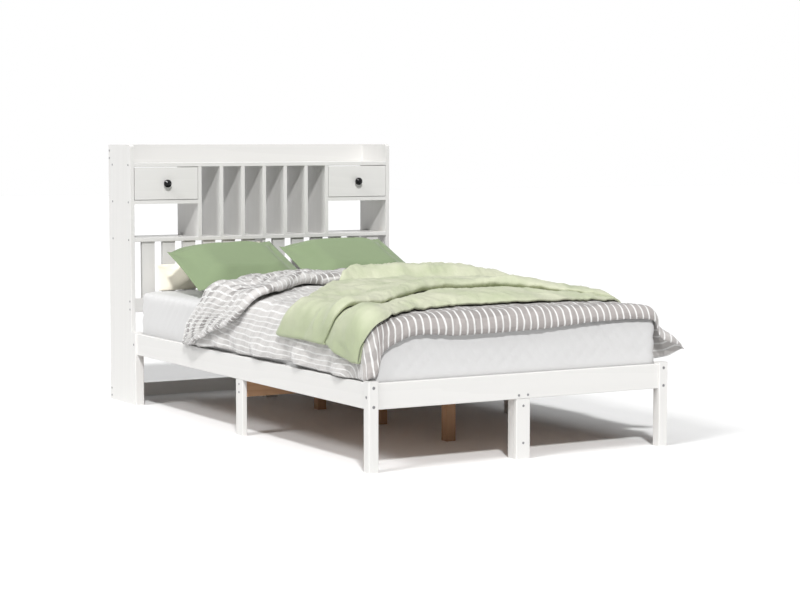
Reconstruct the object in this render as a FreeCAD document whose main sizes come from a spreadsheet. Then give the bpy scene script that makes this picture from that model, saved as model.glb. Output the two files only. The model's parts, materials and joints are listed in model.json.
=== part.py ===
import FreeCAD, Part
import math
import os
import Sketcher
from FreeCAD import Placement, Rotation, Vector

# A double bed of lacquered pine whose headboard is a bookcase with two drawers.
# Millimetres. X runs across the bed, Y from the foot to the head, Z up from the floor.
# The origin is on the floor under the middle of the whole bed.

SIZES = [
    ("bed_width", 1255, "outside width of the frame and of the bookcase"),
    ("bed_length", 2055, "foot posts' front face to head posts' back face"),
    ("bookcase_depth", 240, "front edge to back edge of the side panels"),
    ("bookcase_height", 1100, "floor to the top of the side panels"),
    ("post_side", 38, "side of the square corner posts"),
    ("post_height", 311, "height of the corner posts"),
    ("post_radius", 3, "eased long edges of posts, rails and legs"),
    ("rail_height", 90, "height of the four rails"),
    ("rail_thick", 20, "thickness of the rails and of the leg boards under them"),
    ("rail_bottom", 214, "floor to the underside of the rails"),
    ("leg_wide", 58, "width of the middle leg boards"),
    ("mid_post_deep", 34, "depth of the posts behind the foot rail and the head rail"),
    ("mid_post_high", 237, "height of those posts, under the lapped ends of the beam"),
    ("beam_wide", 38, "thickness of the centre beam and of the cross beam"),
    ("cross_high", 66, "height of the cross beam"),
    ("ledger_wide", 24, "width of the slat ledgers"),
    ("ledger_high", 30, "height of the slat ledgers"),
    ("slat_top", 274, "floor to the top of the bed slats"),
    ("slat_thick", 14, "thickness of the bed slats"),
    ("slat_wide", 68, "width of the bed slats"),
    ("slat_count", 13, "number of bed slats"),
    ("slat_end", 4, "space between the corner posts and the first slat"),
    ("slat_play", 1, "space between a slat's end and the side rail"),
    ("side_thick", 18, "thickness of the bookcase's side panels"),
    ("corner_radius", 12, "rounded top front corner of the side panels"),
    ("board_thick", 16, "thickness of shelves, partitions and back boards"),
    ("board_arris", 1, "flat taken off the long edges of boards"),
    ("shelf_depth", 220, "depth of the shelves and partitions"),
    ("lower_shelf_bottom", 690, "floor to the underside of the lower shelf"),
    ("drawer_shelf_bottom", 849, "floor to the underside of the drawer shelves"),
    ("top_shelf_bottom", 1006, "floor to the underside of the top shelf"),
    ("partition_pitch", 102.5, "middle to middle of the partitions"),
    ("housing_deep", 4, "depth of the housings that hold partitions and shelves"),
    ("housing_stop", 10, "front edge to where a stopped housing begins"),
    ("back_inset", 4, "side panels' back edge to the back boards' back face"),
    ("upper_board_high", 84, "height of the upper back board"),
    ("kick_bottom", 4, "floor to the kick board"),
    ("kick_high", 58, "height of the kick board"),
    ("lattice_inset", 7, "side panels' front edge to the lattice rails"),
    ("lattice_bottom", 392, "floor to the lattice rails"),
    ("lattice_rail_high", 58, "height of the lattice rails"),
    ("lattice_rail_thick", 20, "thickness of the lattice rails"),
    ("lattice_slat_wide", 58, "width of the lattice slats"),
    ("lattice_slat_count", 6, "lattice slats on each side of the centre upright"),
    ("mortise_deep", 6, "depth of the mortises that hold the lattice slats"),
    ("drawer_gap", 2, "gap round a drawer front"),
    ("drawer_front_thick", 16, "thickness of a drawer front"),
    ("drawer_box_long", 200, "length of a drawer's sides"),
    ("drawer_side_high", 100, "height of a drawer's sides"),
    ("drawer_side_thick", 12, "thickness of a drawer's sides and back"),
    ("drawer_side_gap", 5, "space between a drawer's side and the wall beside it"),
    ("drawer_lift", 0.3, "running clearance under a drawer's sides"),
    ("drawer_groove", 6, "depth of the grooves for a drawer's bottom and sides"),
    ("drawer_bottom_thick", 4, "thickness of a drawer's bottom"),
    ("drawer_bottom_up", 8, "side's lower edge to the groove for the bottom"),
    ("drawer_back_inset", 6, "sides' back end to the drawer back"),
    ("knob_radius", 17, "radius of a knob's head"),
    ("knob_reach", 24, "how far a knob stands out of the drawer front"),
    ("knob_stud_radius", 3, "radius of the stud that holds a knob"),
    ("bolt_radius", 3, "shank of the frame bolts"),
    ("bolt_play", 0.2, "clearance round bolts and nuts"),
    ("bolt_head_radius", 5.5, "head of the frame bolts"),
    ("bolt_head_thick", 2.6, "thickness of a bolt's head"),
    ("bolt_socket", 4, "hexagon socket across its flats"),
    ("bolt_long", 85, "length of a frame bolt under its head"),
    ("bolt_sink", 3, "depth of the counterbores"),
    ("bolt_middle", 257, "floor to the middle of the bolt group"),
    ("bolt_spacing", 65, "between the two bolts of a side rail's end"),
    ("nut_radius", 5, "radius of a barrel nut"),
    ("nut_long", 14, "length of a barrel nut"),
    ("nut_from_end", 30, "rail's end to the axis of its barrel nut"),
    ("mattress_high", 210, "slats to the mattress's top edge"),
    ("mattress_crown", 7, "rise of the mattress's top to its middle"),
]

doc = FreeCAD.newDocument("bookcase_headboard_bed")
sheet = doc.addObject("Spreadsheet::Sheet", "size")
for row, (name, value, meaning) in enumerate(SIZES, start=1):
    sheet.set(f"A{row}", name)
    sheet.set(f"B{row}", str(value))
    sheet.set(f"C{row}", meaning)
    sheet.setAlias(f"B{row}", name)
doc.recompute()

# Places that many pieces share, as expressions on the sheet's cells.
FOOT = "(-(size.bed_length + size.bookcase_depth) / 2)"
HEAD = f"({FOOT} + size.bed_length)"
RIGHT = "(size.bed_width / 2)"
LEFT = f"(-{RIGHT})"
RAIL_IN = "((size.post_side - size.rail_thick) / 2)"
MIDDLE = f"({FOOT} + size.bed_length / 2)"
SLAT_BOTTOM = "(size.slat_top - size.slat_thick)"
INNER = f"({RIGHT} - size.side_thick)"
LOWER_TOP = "(size.lower_shelf_bottom + size.board_thick)"
DRAWER_FLOOR = "(size.drawer_shelf_bottom + size.board_thick)"
LATTICE_TOP = "(size.lattice_bottom + size.lattice_rail_high)"
LATTICE_HALF = f"({INNER} - size.board_thick / 2)"
LATTICE_GAP = (
    f"(({LATTICE_HALF} - size.lattice_slat_count * size.lattice_slat_wide)"
    " / (size.lattice_slat_count + 1))"
)
LATTICE_PITCH = f"({LATTICE_GAP} + size.lattice_slat_wide)"
LATTICE_SLAT_IN = "(size.lattice_inset + (size.lattice_rail_thick - size.board_thick) / 2)"
BACK_BOARD_Y = f"({HEAD} + size.bookcase_depth - size.back_inset - size.board_thick)"
BOLT_HIGH = "(size.bolt_middle + size.bolt_spacing / 2)"
BOLT_LOW = "(size.bolt_middle - size.bolt_spacing / 2)"

PLANE_ROLE = {"x": "YZ_Plane", "y": "XZ_Plane", "z": "XY_Plane"}
AXES = "xyz"
HOLE_SIDES = 12
nodes = []


def number(expression):
    """The value of an expression on the sheet's cells."""
    found = sheet.evalExpression(expression)
    return float(getattr(found, "Value", found))


def new_body(label, low):
    """A body that is one node, with its low corner at the place low."""
    body = doc.addObject("PartDesign::Body", label)
    body.Label = label
    for axis, place in zip(AXES, low):
        body.setExpression(f"Placement.Base.{axis}", place)
    nodes.append(body)
    return body


def new_sketch(body, name, across, start):
    """A sketch square to the axis named across, start along it from the body's own corner."""
    sketch = body.newObject("Sketcher::SketchObject", name)
    role = PLANE_ROLE[across]
    plane = next(f for f in body.Origin.OriginFeatures if f.Role == role)
    sketch.AttachmentSupport = [(plane, "")]
    sketch.MapMode = "FlatFace"
    sign = "-" if across == "y" else ""
    sketch.setExpression("AttachmentOffset.Base.z", f"{sign}({start})")
    return sketch


def fix(sketch, kind, geometry, point, expression, name):
    """Hold one point of the sketch at a distance from its origin."""
    value = number(expression)
    if abs(value) < 1e-9:
        flat = "PointOnObject"
        axis = -2 if kind == "DistanceX" else -1
        sketch.addConstraint(Sketcher.Constraint(flat, geometry, point, axis))
        return
    made = sketch.addConstraint(Sketcher.Constraint(kind, -1, 1, geometry, point, value))
    sketch.renameConstraint(made, name)
    sketch.setExpression(f"Constraints.{name}", expression)


def draw_outline(sketch, corners):
    """A closed outline of straight lines through corners, each a pair of expressions."""
    points = [Vector(number(a), number(b), 0) for a, b in corners]
    first = sketch.GeometryCount
    count = len(points)
    for k in range(count):
        sketch.addGeometry(Part.LineSegment(points[k], points[(k + 1) % count]), False)
    for k in range(count):
        after = first + (k + 1) % count
        sketch.addConstraint(Sketcher.Constraint("Coincident", first + k, 2, after, 1))
    for k, (a, b) in enumerate(corners):
        fix(sketch, "DistanceX", first + k, 1, a, f"across{first + k}")
        fix(sketch, "DistanceY", first + k, 1, b, f"up{first + k}")


def rectangle(a, b, wide, high):
    """The corners of a rectangle from its low corner and its two sides."""
    return [(a, b), (f"{a} + {wide}", b), (f"{a} + {wide}", f"{b} + {high}"), (a, f"{b} + {high}")]


def draw_hole(sketch, a, b, radius):
    """A round hole, drawn as a twelve-sided outline round its circle to keep repeats light."""
    corner = f"({radius}) / cos(180 / {HOLE_SIDES})"
    centre = Vector(number(a), number(b), 0)
    reach = number(corner)
    points = []
    for k in range(HOLE_SIDES):
        turn = 2 * math.pi * k / HOLE_SIDES
        points.append(centre + Vector(reach * math.sin(turn), reach * math.cos(turn), 0))
    first = sketch.GeometryCount
    for k in range(HOLE_SIDES):
        sketch.addGeometry(Part.LineSegment(points[k], points[(k + 1) % HOLE_SIDES]), False)
    ring = sketch.addGeometry(Part.Circle(centre, Vector(0, 0, 1), reach), True)
    for k in range(HOLE_SIDES):
        after = first + (k + 1) % HOLE_SIDES
        sketch.addConstraint(Sketcher.Constraint("Coincident", first + k, 2, after, 1))
        sketch.addConstraint(Sketcher.Constraint("PointOnObject", first + k, 1, ring))
        if k:
            sketch.addConstraint(Sketcher.Constraint("Equal", first, first + k))
    sketch.addConstraint(Sketcher.Constraint("Vertical", ring, 3, first, 1))
    size = sketch.addConstraint(Sketcher.Constraint("Radius", ring, reach))
    sketch.renameConstraint(size, f"radius{ring}")
    sketch.setExpression(f"Constraints.radius{ring}", corner)
    fix(sketch, "DistanceX", ring, 3, a, f"across{ring}")
    fix(sketch, "DistanceY", ring, 3, b, f"up{ring}")


def pad(body, name, across, outlines, length, start="0"):
    """Material of the given length from start, along the axis named across."""
    sketch = new_sketch(body, name + "_outline", across, start)
    for corners in outlines:
        draw_outline(sketch, corners)
    made = body.newObject("PartDesign::Pad", name)
    made.Profile = sketch
    made.setExpression("Length", length)
    made.Reversed = across == "y"
    sketch.Visibility = False
    doc.recompute()
    return made


def cut(body, name, across, draw, start, depth, forward):
    """A pocket that begins at start and goes forward or back along the axis named across."""
    before = body.Shape.Volume
    sketch = new_sketch(body, name + "_outline", across, start)
    draw(sketch)
    made = body.newObject("PartDesign::Pocket", name)
    made.Profile = sketch
    made.setExpression("Length", depth)
    made.Reversed = forward != (across == "y")
    sketch.Visibility = False
    doc.recompute()
    if body.Shape.Volume > before - 1:
        raise RuntimeError(f"{body.Label}: {name} cuts nothing")
    return made


def drill(body, name, across, centres, radius, start, depth, forward=True):
    def draw(sketch):
        for a, b in centres:
            draw_hole(sketch, a, b, radius)

    return cut(body, name, across, draw, start, depth, forward)


def groove(body, name, across, corners, start, depth, forward=True):
    return cut(body, name, across, lambda s: draw_outline(s, corners), start, depth, forward)


def repeat(body, feature, axis, spacing, count):
    """A row of a feature along the sketch's H_Axis or V_Axis."""
    row = body.newObject("PartDesign::LinearPattern", feature.Name + "_row")
    row.Originals = [feature]
    row.Direction = (feature.Profile[0], [axis])
    row.setExpression("Length", f"{spacing} * ({count} - 1)")
    row.setExpression("Occurrences", count)
    body.Tip = row
    doc.recompute()
    return row


def ease(body, feature, along, kind="Chamfer", size="size.board_arris"):
    """Take the arris off the edges of the last feature that run along one axis."""
    names = []
    for k, edge in enumerate(feature.Shape.Edges, start=1):
        start, end = edge.Vertexes[0].Point, edge.Vertexes[-1].Point
        run = [abs(end.x - start.x), abs(end.y - start.y), abs(end.z - start.z)]
        others = [r for a, r in zip(AXES, run) if a != along]
        if run[AXES.index(along)] > 1 and max(others) < 1e-6:
            names.append(f"Edge{k}")
    made = body.newObject(f"PartDesign::{kind}", feature.Name + "_eased")
    made.Base = (feature, names)
    made.setExpression("Radius" if kind == "Fillet" else "Size", size)
    doc.recompute()
    return made


def board(label, low, sides, along, kind="Chamfer", size="size.board_arris"):
    """A straight board: its section is drawn, padded along its length, and its edges eased."""
    body = new_body(label, low)
    across = [s for a, s in zip(AXES, sides) if a != along]
    length = sides[AXES.index(along)]
    made = pad(body, label + "_board", along, [rectangle("0", "0", *across)], length)
    ease(body, made, along, kind, size)
    return body


def rounded_board(label, low, sides, along):
    """A board of the bed frame, with its long edges rounded."""
    return board(label, low, sides, along, "Fillet", "size.post_radius")


# ---------------------------------------------------------------- corner posts
def corner_post(label, is_left, is_head):
    """A square post, drilled for two bolts into the side rail and one into the end rail."""
    x = LEFT if is_left else f"{RIGHT} - size.post_side"
    y = f"{HEAD} - size.post_side" if is_head else FOOT
    side = "size.post_side"
    body = rounded_board(label, (x, y, "0"), (side, side, "size.post_height"), "z")
    hole = "size.bolt_radius + size.bolt_play"
    sink = "size.bolt_head_radius + size.bolt_play"
    end_face = side if is_head else "0"
    side_face = "0" if is_left else side
    pair = [("size.post_side / 2", BOLT_HIGH), ("size.post_side / 2", BOLT_LOW)]
    single = [("size.post_side / 2", "size.bolt_middle")]
    drill(body, label + "_pair", "y", pair, hole, "0", side)
    drill(body, label + "_pair_sink", "y", pair, sink, end_face, "size.bolt_sink", not is_head)
    drill(body, label + "_single", "x", single, hole, "0", side)
    drill(body, label + "_single_sink", "x", single, sink, side_face, "size.bolt_sink", is_left)


for is_head, end in ((False, "foot"), (True, "head")):
    for is_left, hand in ((True, "left"), (False, "right")):
        corner_post(f"{end}_post_{hand}", is_left, is_head)


# ---------------------------------------------------------------------- rails
NUT_HOLE = "size.nut_radius + size.bolt_play"
NUT_DEPTH = "size.nut_long + 1"
BOLT_HOLE = "size.bolt_radius + size.bolt_play"
BOLT_IN_RAIL = "size.bolt_long - size.post_side + size.bolt_sink + 2"


def side_rail(label, is_left):
    """A rail between a foot post and a head post, with two bolts and barrel nuts at each end."""
    x = f"{LEFT} + {RAIL_IN}" if is_left else f"{RIGHT} - {RAIL_IN} - size.rail_thick"
    length = "size.bed_length - 2 * size.post_side"
    low = (x, f"{FOOT} + size.post_side", "size.rail_bottom")
    sides = ("size.rail_thick", length, "size.rail_height")
    body = rounded_board(label, low, sides, "y")
    heights = [f"{BOLT_HIGH} - size.rail_bottom", f"{BOLT_LOW} - size.rail_bottom"]
    centres = [("size.rail_thick / 2", z) for z in heights]
    drill(body, label + "_foot_bolts", "y", centres, BOLT_HOLE, "0", BOLT_IN_RAIL)
    drill(body, label + "_head_bolts", "y", centres, BOLT_HOLE, length, BOLT_IN_RAIL, False)
    places = ["size.nut_from_end", f"{length} - size.nut_from_end"]
    nuts = [(y, z) for y in places for z in heights]
    face = "size.rail_thick" if is_left else "0"
    drill(body, label + "_nuts", "x", nuts, NUT_HOLE, face, NUT_DEPTH, not is_left)


def end_rail(label, is_head):
    """A rail between two posts, with one bolt and barrel nut at each end."""
    y = f"{HEAD} - {RAIL_IN} - size.rail_thick" if is_head else f"{FOOT} + {RAIL_IN}"
    length = "(size.bed_width - 2 * size.post_side)"
    low = (f"{LEFT} + size.post_side", y, "size.rail_bottom")
    sides = (length, "size.rail_thick", "size.rail_height")
    body = rounded_board(label, low, sides, "x")
    height = "size.bolt_middle - size.rail_bottom"
    centre = [("size.rail_thick / 2", height)]
    drill(body, label + "_left_bolt", "x", centre, BOLT_HOLE, "0", BOLT_IN_RAIL)
    drill(body, label + "_right_bolt", "x", centre, BOLT_HOLE, length, BOLT_IN_RAIL, False)
    nuts = [("size.nut_from_end", height), (f"{length} - size.nut_from_end", height)]
    inner = "0" if is_head else "size.rail_thick"
    drill(body, label + "_nuts", "y", nuts, NUT_HOLE, inner, NUT_DEPTH, is_head)


side_rail("side_rail_left", True)
side_rail("side_rail_right", False)
end_rail("foot_rail", False)
end_rail("head_rail", True)


# ----------------------------------------------------------------- middle legs
CROSS_BOTTOM = "(size.rail_bottom - size.cross_high)"
rounded_board(
    "foot_mid_leg",
    ("-size.leg_wide / 2", f"{FOOT} + {RAIL_IN}", "0"),
    ("size.leg_wide", "size.rail_thick", "size.rail_bottom"),
    "z",
)

# One post stands behind the foot rail and its twin before the head rail.
mid_posts = new_body("mid_posts", ("-size.leg_wide / 2", f"{FOOT} + {RAIL_IN} + size.rail_thick", "0"))
mid_posts.AllowCompound = True
post_run = f"(size.bed_length - 2 * ({RAIL_IN} + size.rail_thick))"
both_posts = [
    rectangle("0", "0", "size.leg_wide", "size.mid_post_deep"),
    rectangle("0", f"{post_run} - size.mid_post_deep", "size.leg_wide", "size.mid_post_deep"),
]
pad(mid_posts, "mid_posts_pad", "z", both_posts, "size.mid_post_high")

for is_left, hand in ((True, "left"), (False, "right")):
    label = f"side_mid_leg_{hand}"
    x = f"{LEFT} + {RAIL_IN}" if is_left else f"{RIGHT} - {RAIL_IN} - size.rail_thick"
    low = (x, f"{MIDDLE} - size.leg_wide / 2", "0")
    sides = ("size.rail_thick", "size.leg_wide", "size.rail_bottom")
    rounded_board(label, low, sides, "z")

# --------------------------------------------------- beams, centre legs, slats
BETWEEN_RAILS = f"(size.bed_width - 2 * ({RAIL_IN} + size.rail_thick))"
board(
    "cross_beam",
    (f"-{BETWEEN_RAILS} / 2", f"{MIDDLE} - size.beam_wide / 2", CROSS_BOTTOM),
    (BETWEEN_RAILS, "size.beam_wide", "size.cross_high"),
    "x",
)

# The centre beam's ends are cut to half laps that lie on the two middle posts.
beam_high = f"({SLAT_BOTTOM} - size.rail_bottom)"
beam = new_body(
    "centre_beam",
    ("-size.beam_wide / 2", f"{FOOT} + {RAIL_IN} + size.rail_thick", "size.rail_bottom"),
)
lap = "(size.mid_post_high - size.rail_bottom)"
beam_outline = [
    ("0", lap),
    ("size.mid_post_deep", lap),
    ("size.mid_post_deep", "0"),
    (f"{post_run} - size.mid_post_deep", "0"),
    (f"{post_run} - size.mid_post_deep", lap),
    (post_run, lap),
    (post_run, beam_high),
    ("0", beam_high),
]
pad(beam, "centre_beam_pad", "x", [beam_outline], "size.beam_wide")

# Two centre legs carry the beam at its quarters, the third carries the cross beam under it.
legs = new_body("centre_legs", ("-size.beam_wide / 2", FOOT, "0"))
legs.AllowCompound = True
side = "size.beam_wide"
quarters = [
    rectangle("0", f"{share} * size.bed_length - {side} / 2", side, side) for share in ("0.25", "0.75")
]
halfway = [rectangle("0", f"0.5 * size.bed_length - {side} / 2", side, side)]
pad(legs, "quarter_legs", "z", quarters, "size.rail_bottom")
pad(legs, "middle_leg", "z", halfway, CROSS_BOTTOM)

for is_left, hand in ((True, "left"), (False, "right")):
    x = f"-{BETWEEN_RAILS} / 2" if is_left else f"{BETWEEN_RAILS} / 2 - size.ledger_wide"
    board(
        f"slat_ledger_{hand}",
        (x, f"{FOOT} + size.post_side", f"{SLAT_BOTTOM} - size.ledger_high"),
        ("size.ledger_wide", "size.bed_length - 2 * size.post_side", "size.ledger_high"),
        "y",
    )

slats = new_body(
    "bed_slats",
    (f"-{BETWEEN_RAILS} / 2 + size.slat_play", f"{FOOT} + size.post_side + size.slat_end", SLAT_BOTTOM),
)
slats.AllowCompound = True
one_slat = rectangle("0", "0", "size.slat_wide", "size.slat_thick")
slat_pad = pad(slats, "slat", "x", [one_slat], f"{BETWEEN_RAILS} - 2 * size.slat_play")
slat_room = "size.bed_length - 2 * size.post_side - 2 * size.slat_end - size.slat_wide"
repeat(slats, slat_pad, "H_Axis", f"({slat_room}) / (size.slat_count - 1)", "size.slat_count")


# ------------------------------------------------------- bookcase side panels
def side_panel(label, is_left):
    """A full-height side of the bookcase, rounded at its top front corner."""
    x = LEFT if is_left else f"{RIGHT} - size.side_thick"
    body = new_body(label, (x, HEAD, "0"))
    outline = rectangle("0", "0", "size.side_thick", "size.bookcase_depth")
    made = pad(body, label + "_board", "z", [outline], "size.bookcase_height")
    height = number("size.bookcase_height")
    for k, edge in enumerate(made.Shape.Edges, start=1):
        centre = edge.CenterOfMass
        if abs(centre.y) < 0.01 and abs(centre.z - height) < 0.01:
            front_edge = f"Edge{k}"
    corner = body.newObject("PartDesign::Fillet", label + "_corner")
    corner.Base = (made, [front_edge])
    corner.setExpression("Radius", "size.corner_radius")
    doc.recompute()
    ease(body, corner, "z")


side_panel("headboard_side_left", True)
side_panel("headboard_side_right", False)

# ------------------------------------------------------ shelves and partitions
SHELF_LONG = f"(2 * {INNER})"
HOUSING = rectangle(
    f"{INNER} - 3 * size.partition_pitch - size.board_thick / 2",
    "size.housing_stop",
    "size.board_thick",
    "size.shelf_depth - size.housing_stop",
)


def long_shelf(label, bottom, housings_up):
    """A shelf from side to side, with seven stopped housings for the partitions' ends."""
    sides = (SHELF_LONG, "size.shelf_depth", "size.board_thick")
    body = board(label, (f"-{INNER}", HEAD, bottom), sides, "x")
    face = "size.board_thick" if housings_up else "0"
    first = groove(body, label + "_housing", "z", HOUSING, face, "size.housing_deep", not housings_up)
    repeat(body, first, "H_Axis", "size.partition_pitch", "7")
    return body


long_shelf("top_shelf", "size.top_shelf_bottom", False)
lower_shelf = long_shelf("lower_shelf", "size.lower_shelf_bottom", True)


def lattice_mortises(body, name, first_slat, up_face, forward):
    """A row of mortises for the ends of the lattice slats on one side of the upright."""
    in_y = "(size.lattice_rail_thick - size.board_thick) / 2"
    y = LATTICE_SLAT_IN if body is lower_shelf else in_y
    hole = rectangle(first_slat, y, "size.lattice_slat_wide", "size.board_thick")
    first = groove(body, name, "z", hole, up_face, "size.mortise_deep", forward)
    repeat(body, first, "H_Axis", LATTICE_PITCH, "size.lattice_slat_count")


lattice_mortises(lower_shelf, "left_mortise", LATTICE_GAP, "0", True)
right_start = f"{INNER} + size.board_thick / 2 + {LATTICE_GAP}"
lattice_mortises(lower_shelf, "right_mortise", right_start, "0", True)

CLEAR_HIGH = f"(size.top_shelf_bottom - {LOWER_TOP})"
for k in range(-3, 4):
    label = f"partition_{k + 4}"
    x = f"{k} * size.partition_pitch - size.board_thick / 2"
    body = new_body(label, (x, HEAD, LOWER_TOP))
    tongue = "size.housing_deep"
    outline = [
        ("0", "0"),
        ("size.housing_stop", "0"),
        ("size.housing_stop", f"-{tongue}"),
        ("size.shelf_depth", f"-{tongue}"),
        ("size.shelf_depth", f"{CLEAR_HIGH} + {tongue}"),
        ("size.housing_stop", f"{CLEAR_HIGH} + {tongue}"),
        ("size.housing_stop", CLEAR_HIGH),
        ("0", CLEAR_HIGH),
    ]
    pad(body, label + "_pad", "x", [outline], "size.board_thick")
    if abs(k) == 3:
        slot = rectangle(
            "size.housing_stop",
            f"size.drawer_shelf_bottom - {LOWER_TOP}",
            "size.shelf_depth - size.housing_stop",
            "size.board_thick",
        )
        face = "0" if k < 0 else "size.board_thick"
        groove(body, label + "_housing", "x", slot, face, tongue, k < 0)

BAY = f"({INNER} - 3 * size.partition_pitch - size.board_thick / 2)"
for is_left, hand in ((True, "left"), (False, "right")):
    label = f"drawer_shelf_{hand}"
    x = f"-{INNER}" if is_left else f"{INNER} - {BAY} - size.housing_deep"
    body = new_body(label, (x, HEAD, "size.drawer_shelf_bottom"))
    full = f"{BAY} + size.housing_deep"
    if is_left:
        outline = [("0", "0"), (BAY, "0"), (BAY, "size.housing_stop"), (full, "size.housing_stop")]
        outline += [(full, "size.shelf_depth"), ("0", "size.shelf_depth")]
    else:
        outline = [("size.housing_deep", "0"), (full, "0"), (full, "size.shelf_depth")]
        outline += [("0", "size.shelf_depth"), ("0", "size.housing_stop")]
        outline += [("size.housing_deep", "size.housing_stop")]
    pad(body, label + "_pad", "z", [outline], "size.board_thick")

board(
    "upper_back_board",
    (f"-{INNER}", BACK_BOARD_Y, "size.bookcase_height - size.upper_board_high"),
    (SHELF_LONG, "size.board_thick", "size.upper_board_high"),
    "x",
)
board(
    "kick_board",
    (f"-{INNER}", BACK_BOARD_Y, "size.kick_bottom"),
    (SHELF_LONG, "size.board_thick", "size.kick_high"),
    "x",
)
board(
    "centre_upright",
    ("-size.board_thick / 2", f"{HEAD} + size.lattice_inset", "0"),
    ("size.board_thick", "size.shelf_depth - size.lattice_inset", "size.lower_shelf_bottom"),
    "z",
)

# --------------------------------------------------------------------- lattice
for is_left, hand in ((True, "left"), (False, "right")):
    x = f"-{INNER}" if is_left else "size.board_thick / 2"
    rail = board(
        f"lattice_rail_{hand}",
        (x, f"{HEAD} + size.lattice_inset", "size.lattice_bottom"),
        (LATTICE_HALF, "size.lattice_rail_thick", "size.lattice_rail_high"),
        "x",
    )
    name = f"rail_mortise_{hand}"
    lattice_mortises(rail, name, LATTICE_GAP, "size.lattice_rail_high", False)
    label = f"lattice_slats_{hand}"
    low = (f"{x} + {LATTICE_GAP}", f"{HEAD} + {LATTICE_SLAT_IN}", f"{LATTICE_TOP} - size.mortise_deep")
    group = new_body(label, low)
    group.AllowCompound = True
    long = f"size.lower_shelf_bottom - {LATTICE_TOP} + 2 * size.mortise_deep"
    section = rectangle("0", "0", "size.lattice_slat_wide", "size.board_thick")
    first = pad(group, label + "_pad", "z", [section], long)
    repeat(group, first, "H_Axis", LATTICE_PITCH, "size.lattice_slat_count")


# --------------------------------------------------------------------- drawers
def drawer(hand, bay_low):
    """Front with housings for the sides and the bottom, two grooved sides, back, bottom, knob."""
    name = f"drawer_{hand}"
    front_wide = f"({BAY} - 2 * size.drawer_gap)"
    front_low = f"({DRAWER_FLOOR} + size.drawer_gap)"
    front_high = f"(size.top_shelf_bottom - {DRAWER_FLOOR} - 2 * size.drawer_gap - 1)"
    box_low = f"({DRAWER_FLOOR} + size.drawer_lift)"
    box_front = f"({HEAD} + size.drawer_front_thick - size.drawer_groove)"
    side_in = "(size.drawer_side_gap - size.drawer_gap)"
    thick = "size.drawer_side_thick"

    front = board(
        name + "_front",
        (f"{bay_low} + size.drawer_gap", HEAD, front_low),
        (front_wide, "size.drawer_front_thick", front_high),
        "x",
    )
    up = f"{box_low} + size.drawer_side_high - {front_low}"
    far = f"{front_wide} - {side_in} - {thick}"
    inner_face = "size.drawer_front_thick"
    for end, x in (("near", side_in), ("far", far)):
        slot = rectangle(x, "0", thick, up)
        groove(front, f"{name}_{end}", "y", slot, inner_face, "size.drawer_groove", False)
    panel_up = f"({box_low} + size.drawer_bottom_up - {front_low})"
    between = f"{front_wide} - 2 * {side_in} - 2 * {thick}"
    slot = rectangle(f"{side_in} + {thick}", panel_up, between, "size.drawer_bottom_thick")
    groove(front, name + "_slot", "y", slot, inner_face, "size.drawer_groove", False)
    middle = (f"{front_wide} / 2", f"{front_high} / 2")
    stud_hole = "(size.knob_stud_radius + size.bolt_play)"
    drill(front, name + "_stud_hole", "y", [middle], stud_hole, "0", "size.drawer_front_thick")

    left_x = f"({bay_low} + size.drawer_side_gap)"
    right_x = f"({bay_low} + {BAY} - size.drawer_side_gap - {thick})"
    for side_hand, x in (("left", left_x), ("right", right_x)):
        label = f"{name}_side_{side_hand}"
        sides = (thick, "size.drawer_box_long", "size.drawer_side_high")
        body = board(label, (x, box_front, box_low), sides, "y")
        slot = rectangle(
            "0", "size.drawer_bottom_up", "size.drawer_box_long", "size.drawer_bottom_thick"
        )
        face, forward = (thick, False) if side_hand == "left" else ("0", True)
        groove(body, label + "_groove", "x", slot, face, "size.drawer_groove", forward)

    bottom_top = f"({box_low} + size.drawer_bottom_up + size.drawer_bottom_thick)"
    box_back = f"({box_front} + size.drawer_box_long - size.drawer_back_inset)"
    back_low = (f"{left_x} + {thick}", f"{box_back} - {thick}", bottom_top)
    back_high = f"{box_low} + size.drawer_side_high - {bottom_top} - 6"
    board(name + "_back", back_low, (between, thick, back_high), "x")
    bottom = new_body(
        name + "_bottom",
        (f"{left_x} + {thick} - size.drawer_groove", box_front, f"{box_low} + size.drawer_bottom_up"),
    )
    # Its front edge goes into the front's slot, between the two sides.
    wide = f"{between} + 2 * size.drawer_groove"
    deep = f"{box_back} - {box_front}"
    step = "size.drawer_groove"
    outline = [
        (step, "0"),
        (f"{wide} - {step}", "0"),
        (f"{wide} - {step}", step),
        (wide, step),
        (wide, deep),
        ("0", deep),
        ("0", step),
        (step, step),
    ]
    pad(bottom, name + "_panel", "z", [outline], "size.drawer_bottom_thick")

    centre = (f"{bay_low} + {BAY} / 2", HEAD, f"{front_low} + {front_high} / 2")
    knob(name + "_knob", centre)


def feature(label, shape):
    made = doc.addObject("Part::Feature", label)
    made.Label = label
    made.Shape = shape
    made.Placement = Placement()
    nodes.append(made)
    return made


def faceted(rings):
    """A solid with flat faces between each two rings of points, and flat ends."""
    faces = [Part.Face(Part.makePolygon(ring + ring[:1])) for ring in (rings[0], rings[-1])]
    for near, far in zip(rings, rings[1:]):
        for k in range(len(near)):
            following = (k + 1) % len(near)
            corners = [near[k], near[following], far[following], far[k], near[k]]
            faces.append(Part.Face(Part.makePolygon(corners)))
    made = Part.Solid(Part.Shell(faces))
    if made.Volume < 0:
        made.reverse()
    return made


KNOB_SIDES = 20


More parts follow.
